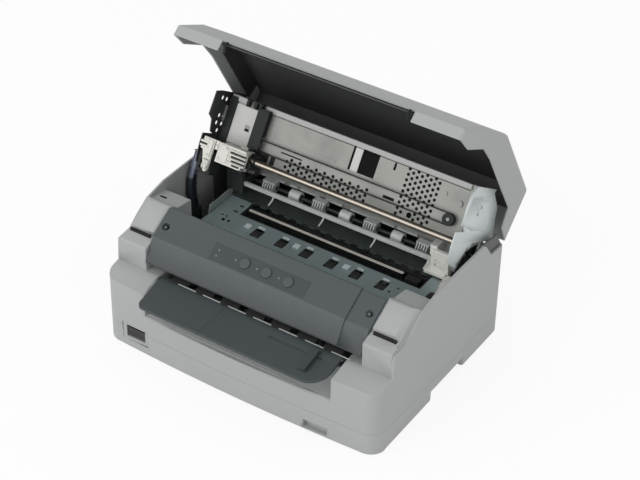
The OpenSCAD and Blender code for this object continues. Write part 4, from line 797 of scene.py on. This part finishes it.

# Paper table and release lever
# dark marks on the table: painted shade in its holes
TABLE_MARKS = [((x, y, 109.9), (x + wide, y + deep, 110.12)) for x, y, wide, deep in
               ((-128.5, 14.5, 4.2, 4.6), (-120.6, 15.5, 3.2, 3.6), (-126, 37, 6, 2.4), (112, 10, 2.6, 2.6),
                (118, 21, 2.2, 2.2))]
LEVER_X, LEVER_WEB_X = -185.4, -183  # the web's outer and inner face
LEVER_FRONT = ([(43, 175), (40.5, 170.5), (34, 159.5), (27, 146.5), (23.8, 138), (23, 124), (24, 110), (27, 97)],
               LEVER_X, -178.7, 2.2)
LEVER_BACK = ([(51, 171), (49, 165), (44, 156), (38, 145), (35.5, 134), (35, 122), (36, 110), (38, 97)],
              LEVER_X, -179.3, -1.8)
LEVER_NECK = ([(27.5, 98), (38, 98), (41, 88.5), (38.8, 91), (29.2, 91), (27, 88.5)], LEVER_X, -180.6, "x")
LEVER_HUB = ([(0, 3.2), (0, 8), (4.4, 8), (5, 7.4), (5, 3.2)], (LEVER_X, 34, 86), (1, 0, 0))
LEVER_RIBS = [((-184.8, y, z), (-179, y + 11, z + 1.4)) for y, z in ((31, 151), (25, 130), (25, 112))]

# Rear paper guide
BEAM_COVERS = [((low, 97.5, 129), (high, 108, 131.2)) for low, high in
               ((-126, -92), (-84, -73), (-69, -40), (-33, -8), (4, 66), (70, 98))]
ROLLER_SHADES = [((x - 8, 84, 112), (x + 8, 96, 116.5)) for x in np.arange(6) * 36.6 - 89.7]
END_FOOT = ([(63, 112), (72, 112), (76, 116), (86, 117), (90, 121), (88, 124), (74, 121), (63, 117)], 128, 156, "x")
END_TOPS = [((124, 84, 130), (134.5, 104, 135.5)), ((130, 72, 133), (140, 92, 148)), ((127, 98, 128), (136, 106, 140))]
PAPER_BAFFLE = [((-128, 111.5, 99), (128, 112.3, 128.5)), ((-128, 108.5, 127), (128, 112, 128.5))]

# Back plate of the print unit
# a black sheet behind the back plate's window: painted shade seen through the vents
BACK_SHADE = [((-74, 56.9, 121), (136, 57.3, 184))]
# the top flange's strips stand proud of the plate; their light grey is painted highlight for the lit band
BACK_FLANGE = [((low, 53.2, 187.8), (high, 55.4, 194.2)) for low, high in ((-160, -139), (-120, 165))]
# the first line is a painted shadow under the top flange, the others dark slots of painted shade
BACK_LINES = [((-120, 55.2, 186.4), (164, 55.45, 187.1)), ((-141.6, 54.8, 156.8), (-128.5, 55.95, 159.6)),
              ((-83, 55.2, 147.6), (-53, 55.45, 149.2)), ((62, 55.2, 142.5), (77, 55.45, 146))]
RIBBON = [((-98, 54.2, 139.2), (150, 54.6, 140.4))]
BACK_Y = 55.47  # the hole rims' place just before the plate
VENT_FIELDS = ((-72, 127, 10, 6), (84, 131, 4, 17))  # x and z of the first hole, columns and rows
VENT_ROW, VENT_COLUMN = 3.4, 5.889  # distance between the staggered rows and columns
# dark rings round the vents: painted shade at the holes' edges
VENT_RIM = [(0, 1.35), (0, 2.05), (0.05, 2.05), (0.05, 1.35)]
IDLER_SPOT = (101, 134.3, 7)  # x, z and radius of the place that the belt's idler hides

# Right plate of the print unit, whose lower part stands a little further out
PLATE_FOLD = 142  # the height between the two parts
PLATE_UPPER_X, PLATE_LOWER_X = 174.45, 175.25
# dark discs on the plate stand for its holes: painted shade
PLATE_HOLES = ((71.3, 154.3, 1.7), (75.3, 147.6, 1.5), (52.1, 118.7, 1.3), (61.9, 130.3, 1.6), (48.4, 120.4, 1.2),
               (32.5, 116.5, 1.1), (45, 150.5, 1.4), (66.5, 138.9, 1.5), (39.6, 135.9, 1.3), (46.1, 107, 1.1),
               (52, 158, 1.2))
PLATE_SCREWS = ((40, 168), (58, 149), (50, 110))
PLATE_SCREW_R = 1.7
PLATE_BOSS = [(0, 0.05), (0, 5.2), (1.2, 5.2), (1.2, 3.6), (0.5, 3.6), (0.5, 2.2), (1.8, 2.2), (1.8, 0.05)]
PLATE_BOSS_SPOT = (69.7, 122.4)

# Ribbon guard at the left, its fittings, the dark blocks of painted shade and the hooks behind it
GUARD = ([(-169.5, 138), (-147.4, 138), (-147.4, 127), (-153.4, 127), (-153.4, 101), (-155, 97.5), (-158, 97),
          (-161, 101), (-162.5, 107), (-164.5, 114), (-167, 121.8), (-171, 123)], 20, 24)
GUARD_STEP = ([(-167, 136), (-154.5, 136), (-155.5, 115), (-160, 115), (-163.5, 121), (-166, 128)], 18.4, 20.2)
GUARD_TONGUE = ([(-161, 110), (-154, 111), (-154, 102), (-156, 99.4), (-159, 102)], 18.2, 20.2)
GUARD_PRONGS = [((-171.8, 17.6, z), (-160, 20.1, z + 2.6)) for z in (130.6, 125.6)]
GUARD_TAIL = ([(0, 1), (0, 3.4), (2.2, 3.4), (2.2, 2.2), (4.6, 2.2), (4.6, 3.4), (6.8, 3.4), (6.8, 1)],
              (-161.2, 20.5, 103.5), (1, 0, 0))
GUARD_GAPS = [((-171.5, 18.2, 128.3), (-162, 19.95, 130.5)), ((-152.4, 19.6, 127.5), (-151.6, 20, 137)),
              ((-161, 18.1, 111.6), (-154, 18.3, 112.4))]
GUARD_SCREWS = (((-158.5, 18.4, 118), (-157.5, 18.2, 107.5), (-150, 20, 132.5)), (0, -1, 0), 1.3)
# dark blocks where the unit lies in shade: painted shade
UNIT_SHADES = [((-170.5, 52.8, 124), (-159.6, 55.3, 192)), ((-119, 53.8, 129.5), (-97, 55.3, 141.5)),
               ((-93.5, 53.8, 128), (-88, 55.3, 139.5)), ((-125, 45.4, 140.5), (-109, 46.6, 189)),
               ((-124, 53.8, 124), (-108, 55.3, 141))]
POST_HOOKS = [([(x, 186), (x + 4, 186), (x + 4, 193), (x + 7, 195), (x, 195)], 46.5, 53) for x in (-144, -133, -126)]

# Carriage
FRONT = ([(-146.8, 137.6), (-109, 137.6), (-105.5, 132), (-105.5, 119), (-112, 113.2), (-146.8, 113.2)], 19.6, 23.6)
FRONT_LID = ([(-145, 136), (-133, 136), (-131, 132), (-131, 116), (-145, 116)], 18.3, 20)
FRONT_RIBS = [([(-130, z), (-104.5, z - 0.8), (-104.5, z - 2.2), (-130, z - 2)], 16.6, 20)
              for z in (134.5, 129.6, 124.7, 119.8)]
FRONT_GAPS = [((-128.5 + 2 * k, 19.2, z - 3.6), (-105.2, 19.58, z - 1.4))
              for k, z in enumerate((133.4, 128.5, 123.6, 118.7))]
FRONT_SCREWS = (((-142, 18.3, 119), (-134.5, 18.3, 133.5), (-110, 19.6, 116)), (0, -1, 0), 1.5)
BEARING = ([(0, 4.3), (0, 5.1), (2, 5.1), (2.4, 4.3)], (-100.2, 32.3, 128.2), (1, 0, 0))
BEARING_ARMS = [((-107, 25, 118), (-101, 47, 126)), ((-107, 40, 126), (-99, 52, 136))]


# ---- operators: one for each group of pieces ----

class PRINTER_OT_case(Operator):
    """Rounds and finishes the lower and upper case, their feet and foam strips."""
    bl_idname = "printer.case"
    bl_label = "Case"

    def execute(self, context):
        rounded("upper_case", context.scene.printer_sizes.edge * UPPER_EDGE, 4, finish="upper_skin", soft=FOAM_GROOVES)
        # the case's slot takes the near black of painted shade
        piece("case_slot", blocks(CASE_SLOT), "case", "black_plastic", "hole_black")
        rounded("lower_case", context.scene.printer_sizes.edge, 3)
        plain("rubber_feet")
        round_off("seal_strips")
        return {"FINISHED"}


class PRINTER_OT_panel(Operator):
    """Rounds and finishes the control panel with its inlay, lamps, screws and buttons."""
    bl_idname = "printer.panel"
    bl_label = "Control panel"

    def execute(self, context):
        round_off("control_panel", "push_button_left", "push_button_middle", "push_button_right")
        plain("panel_inlay", "status_lamps")
        # the screws' wells take the near black of painted shade in their recesses
        creased("panel_screws", finish="hole_black")
        piece("panel_screw_heads", screw_heads(*PANEL_SCREWS), "case", "sheet_steel", "motor_metal")
        return {"FINISHED"}


class PRINTER_OT_tray(Operator):
    """Rounds and finishes the tray, its edge guide and the slot's lip, with light strips along the lip as painted
    highlights.
    """
    bl_idname = "printer.tray"
    bl_label = "Tray"

    def execute(self, context):
        round_off("front_tray", "edge_guide")
        plain("slot_lip", finish="black_plastic")
        piece("lip_highlights", blocks(LIP_HIGHLIGHTS), "case", SLOT_OF["slot_lip"], "bright_edge")
        return {"FINISHED"}


class PRINTER_OT_table(Operator):
    """Finishes the paper table, the rear table, the platen and the lower frame."""
    bl_idname = "printer.table"
    bl_label = "Paper table"

    def execute(self, context):
        creased("rear_table", "lever_stand", finish="rear_paint")
        round_off("table_tabs", "paper_table", "left_frame", "right_frame", "hinge_brackets")
        creased("platen_channel", finish="black_plastic")
        round_off("platen_bar")
        piece("table_marks", blocks(TABLE_MARKS), "case", "black_plastic", "hole_black")
        plain("base_plate", "hinge_pins")
        return {"FINISHED"}


class PRINTER_OT_lever(Operator):
    """Builds the release lever as a channel: front and back wall, web, neck, hub and three ribs."""
    bl_idname = "printer.lever"
    bl_label = "Release lever"

    def execute(self, context):
        rim = np.concatenate([smooth_line(LEVER_FRONT[0]), smooth_line(LEVER_BACK[0])[::-1]])
        walls = [strap(*LEVER_FRONT), strap(*LEVER_BACK), slab(rim, LEVER_X, LEVER_WEB_X, "x"), slab(*LEVER_NECK),
                 lathe(*LEVER_HUB), *blocks(LEVER_RIBS)]
        piece("lever_shell", walls, "release_lever", SLOT_OF["release_lever"], "lever_face", edge=0.0007,
              stands_for=("release_lever",))
        return {"FINISHED"}


class PRINTER_OT_guide(Operator):
    """Finishes the rear paper guide with its rollers, combs and end blocks, and the feed drive."""
    bl_idname = "printer.guide"
    bl_label = "Paper guide and feed"

    def execute(self, context):
        round_off("guide_blocks", "guide_bar", "guide_combs", "pressure_beam")
        plain("front_feed_roller", "rear_feed_roller", "idler_gear", "motor_pinion", "feed_motor")
        round_off("pressure_rollers")
        piece("beam_covers", blocks(BEAM_COVERS), "case", "clear_plastic", "beam_grey")
        feet = [slab(*END_FOOT), *blocks(END_TOPS)]
        piece("end_block_feet", feet, "case", "white_plastic", "end_blocks", edge=0.001)
        piece("paper_baffle", blocks(PAPER_BAFFLE), "case", "black_plastic", "shadow_grey", edge=0.0004)
        piece("roller_shades", blocks(ROLLER_SHADES), "case", "black_plastic", edge=0.0005)
        return {"FINISHED"}


class PRINTER_OT_electrics(Operator):
    """Finishes the board, the supply, the sockets and the power switch."""
    bl_idname = "printer.electrics"
    bl_label = "Electrics"

    def execute(self, context):
        plain("main_board", "power_supply", "power_inlet", "data_sockets")
        round_off("switch_frame", "power_rocker")
        return {"FINISHED"}


class PRINTER_OT_cover(Operator):
    """Rounds and finishes the cover with its lining, felt and hooks."""
    bl_idname = "printer.cover"
    bl_label = "Cover"

    def execute(self, context):
        rounded("cover_shell", context.scene.printer_sizes.edge * COVER_EDGE, 5, bend=12)
        round_off("cover_liner")
        plain("felt_strip")
        creased("cover_hooks", finish="dark_paint")
        return {"FINISHED"}


class PRINTER_OT_unit(Operator):
    """Finishes the print unit's plates, sheets, post, belt, pulleys and motor."""
    bl_idname = "printer.unit"
    bl_label = "Print unit"

    def execute(self, context):
        creased("drive_belt")
        creased("unit_back_plate", smooth=False)
        round_off("unit_left_plate", "screen_post", "carriage_motor")
        rounded("unit_right_plate", 0.0004, 2, finish="right_zinc", angle=60)
        round_off("unit_screens", "motor_pulley", "idler_pulley")
        return {"FINISHED"}


class PRINTER_OT_back_plate(Operator):
    """Dresses the back plate: a black sheet of painted shade behind its window, the top flange in a light grey of
    painted highlight, dark slots and a painted shadow line, the ribbon and dark rims of painted shade round the vents.
    """
    bl_idname = "printer.back_plate"
    bl_label = "Back plate"

    def execute(self, context):
        piece("back_shade", blocks(BACK_SHADE), "print_unit", "dark_paint", "hole_black")
        piece("back_flange", blocks(BACK_FLANGE), "print_unit", SLOT_OF["unit_back_plate"], "bright_edge", edge=0.0006)
        piece("back_lines", blocks(BACK_LINES), "print_unit", "dark_paint", "hole_black")
        piece("ribbon", blocks(RIBBON), "print_unit", "rubber", "ribbon_red")
        vents = [(x0 + (2 * i + j % 2) * VENT_COLUMN, z0 + j * VENT_ROW) for x0, z0, columns, rows in VENT_FIELDS
                 for j in range(rows) for i in range(columns)]
        idler_x, idler_z, hidden = IDLER_SPOT
        rims = [lathe(VENT_RIM, (x, BACK_Y, z), (0, -1, 0), 14) for x, z in vents
                if math.hypot(x - idler_x, z - idler_z) > hidden]
        piece("vent_rims", rims, "print_unit", "dark_paint", "hole_black")
        return {"FINISHED"}


class PRINTER_OT_right_plate(Operator):
    """Adds the right plate's hole marks, which are dark discs of painted shade, its boss and screws, and finishes the
    cross bar, shaft and bracket.
    """
    bl_idname = "printer.right_plate"
    bl_label = "Right plate"

    def execute(self, context):
        inward = (-1, 0, 0)

        def on_plate(y, z):
            return PLATE_UPPER_X if z > PLATE_FOLD else PLATE_LOWER_X, y, z

        holes = [lathe([(0, 0.05), (0, r), (0.2, r), (0.2, 0.05)], on_plate(y, z), inward, 14)
                 for y, z, r in PLATE_HOLES]
        piece("plate_holes", holes, "print_unit", "dark_paint", "hole_black")
        boss = lathe(PLATE_BOSS, on_plate(*PLATE_BOSS_SPOT), inward)
        heads = screw_heads([on_plate(*spot) for spot in PLATE_SCREWS], inward, PLATE_SCREW_R)
        piece("plate_boss", [boss, *heads], "print_unit", "sheet_steel", "motor_metal")
        plain("unit_cross_bar", "carriage_shaft")
        round_off("ribbon_bracket")
        return {"FINISHED"}


class PRINTER_OT_ribbon_guard(Operator):
    """Adds the white ribbon guard with its step, tongue, prongs and screws, and the dark blocks of painted shade and
    the hooks behind it.
    """
    bl_idname = "printer.ribbon_guard"
    bl_label = "Ribbon guard"

    def execute(self, context):
        guard = [slab(*GUARD), slab(*GUARD_STEP), slab(*GUARD_TONGUE), *blocks(GUARD_PRONGS), lathe(*GUARD_TAIL)]
        piece("ribbon_guard", guard, "print_unit", "white_plastic", edge=0.0005)
        piece("ribbon_gaps", blocks(GUARD_GAPS), "print_unit", "black_plastic", "shadow_grey")
        piece("ribbon_screws", screw_heads(*GUARD_SCREWS), "print_unit", "sheet_steel")
        piece("unit_shades", blocks(UNIT_SHADES), "print_unit", "dark_paint", "shadow_grey", edge=0.0005)
        piece("post_hooks", [slab(*hook) for hook in POST_HOOKS], "print_unit", "dark_paint", edge=0.0004)
        return {"FINISHED"}


class PRINTER_OT_carriage(Operator):
    """Rounds and finishes the carriage and the print head, and adds the carriage's front cover with its ribs."""
    bl_idname = "printer.carriage"
    bl_label = "Carriage"

    def execute(self, context):
        round_off("carriage", "print_head")
        front = [slab(*plate) for plate in (FRONT, FRONT_LID, *FRONT_RIBS)]
        piece("carriage_front", front, "carriage", "white_plastic", edge=0.0005)
        piece("carriage_gaps", blocks(FRONT_GAPS), "carriage", "black_plastic", "shadow_grey")
        piece("carriage_screws", screw_heads(*FRONT_SCREWS), "carriage", "sheet_steel")
        bearing = [lathe(*BEARING), *blocks(BEARING_ARMS)]
        piece("carriage_bearing", bearing, "carriage", "black_plastic", "shadow_grey", edge=0.0005)
        return {"FINISHED"}


class PRINTER_OT_stage(Operator):
    """Sets the floor, the soft light, the white surround and the camera."""
    bl_idname = "printer.stage"
    bl_label = "Stage"

    def execute(self, context):
        scene = context.scene
        scene.view_settings.view_transform = "Standard"
        half = FLOOR_HALF
        mesh = bpy.data.meshes.new("floor")
        mesh.from_pydata([(-half, -half, 0), (half, -half, 0), (half, half, 0), (-half, half, 0)], [], [(0, 1, 2, 3)])
        floor = new_object("floor", mesh)
        p = Paintbox("floor_white", Roughness=0.7, Specular_IOR_Level=0.1)
        p.base((0.92, 0.92, 0.92, 1))
        glow = p.node("ShaderNodeEmission", Color=(1, 1, 1, 1), Strength=1.0)
        rays = p.node("ShaderNodeLightPath")
        seen = Wire(p.tree, rays.outputs["Is Camera Ray"]) * FLOOR_SEEN
        glossy = Wire(p.tree, rays.outputs["Is Glossy Ray"]) * FLOOR_MIRRORED
        mix = p.node("ShaderNodeMixShader", Fac=seen.most(glossy))
        p.tree.links.new(p.shader.outputs[0], mix.inputs[1])
        p.tree.links.new(glow.outputs[0], mix.inputs[2])
        p.tree.links.new(mix.outputs[0], p.tree.nodes["Material Output"].inputs[0])
        mesh.materials.append(p.material)
        world = bpy.data.worlds.new("surround")
        scene.world = world
        world.use_nodes = True
        tree = world.node_tree
        sky = tree.nodes["Background"]
        rays = tree.nodes.new("ShaderNodeLightPath")
        level = Wire(tree, rays.outputs["Is Camera Ray"]).most(Wire(tree, rays.outputs["Is Transmission Ray"]))
        light = level * (1 - AMBIENT) + AMBIENT
        sky.inputs[0].default_value = (1, 1, 1, 1)
        tree.links.new(light.socket, sky.inputs[1])
        for name, place, size, watts in LAMPS:
            lamp = bpy.data.lights.new(name, "AREA")
            lamp.size, lamp.energy = size, watts
            aim = (LAMPS_AIM - Vector(place)).to_track_quat("-Z", "Y").to_matrix().to_4x4()
            new_object(name, lamp).matrix_world = Matrix.Translation(place) @ aim
        lens_data = bpy.data.cameras.new("photo_camera")
        lens_data.lens, lens_data.sensor_width, lens_data.sensor_fit = CAMERA_LENS, CAMERA_SENSOR, "HORIZONTAL"
        lens_data.clip_start, lens_data.clip_end = 0.05, 50
        camera = new_object("photo_camera", lens_data)
        camera.matrix_world = Matrix.Translation(CAMERA_PLACE) @ Matrix(CAMERA_AXES).transposed().to_4x4()
        scene.camera = camera
        return {"FINISHED"}


OPERATORS = (PRINTER_OT_case, PRINTER_OT_panel, PRINTER_OT_tray, PRINTER_OT_table, PRINTER_OT_lever, PRINTER_OT_guide,
             PRINTER_OT_electrics, PRINTER_OT_cover, PRINTER_OT_unit, PRINTER_OT_back_plate, PRINTER_OT_right_plate,
             PRINTER_OT_ribbon_guard, PRINTER_OT_carriage, PRINTER_OT_stage)


class PRINTER_PT_panel(Panel):
    """Shows the printer's colours and sizes, and a button for each group of pieces."""
    bl_label = "Printer"
    bl_idname = "PRINTER_PT_panel"
    bl_space_type = "VIEW_3D"
    bl_region_type = "UI"
    bl_category = "Printer"

    def draw(self, context):
        for group in (context.scene.printer_colours, context.scene.printer_sizes):
            for key in group.__annotations__:
                self.layout.prop(group, key)
        for operator in OPERATORS:
            self.layout.operator(operator.bl_idname)


CLASSES = (PrinterColours, PrinterSizes, *OPERATORS, PRINTER_PT_panel)


def register():
    for cls in CLASSES:
        bpy.utils.register_class(cls)
    bpy.types.Scene.printer_colours = PointerProperty(type=PrinterColours)
    bpy.types.Scene.printer_sizes = PointerProperty(type=PrinterSizes)


def unregister():
    del bpy.types.Scene.printer_colours
    del bpy.types.Scene.printer_sizes
    for cls in reversed(CLASSES):
        bpy.utils.unregister_class(cls)


def main():
    """Registers the classes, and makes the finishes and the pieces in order."""
    register()
    scene = bpy.context.scene
    make_finishes(scene.printer_colours, scene.printer_sizes)
    for operator in OPERATORS:
        getattr(bpy.ops.printer, operator.bl_idname.split(".")[1])()


if __name__ == "__main__":
    main()
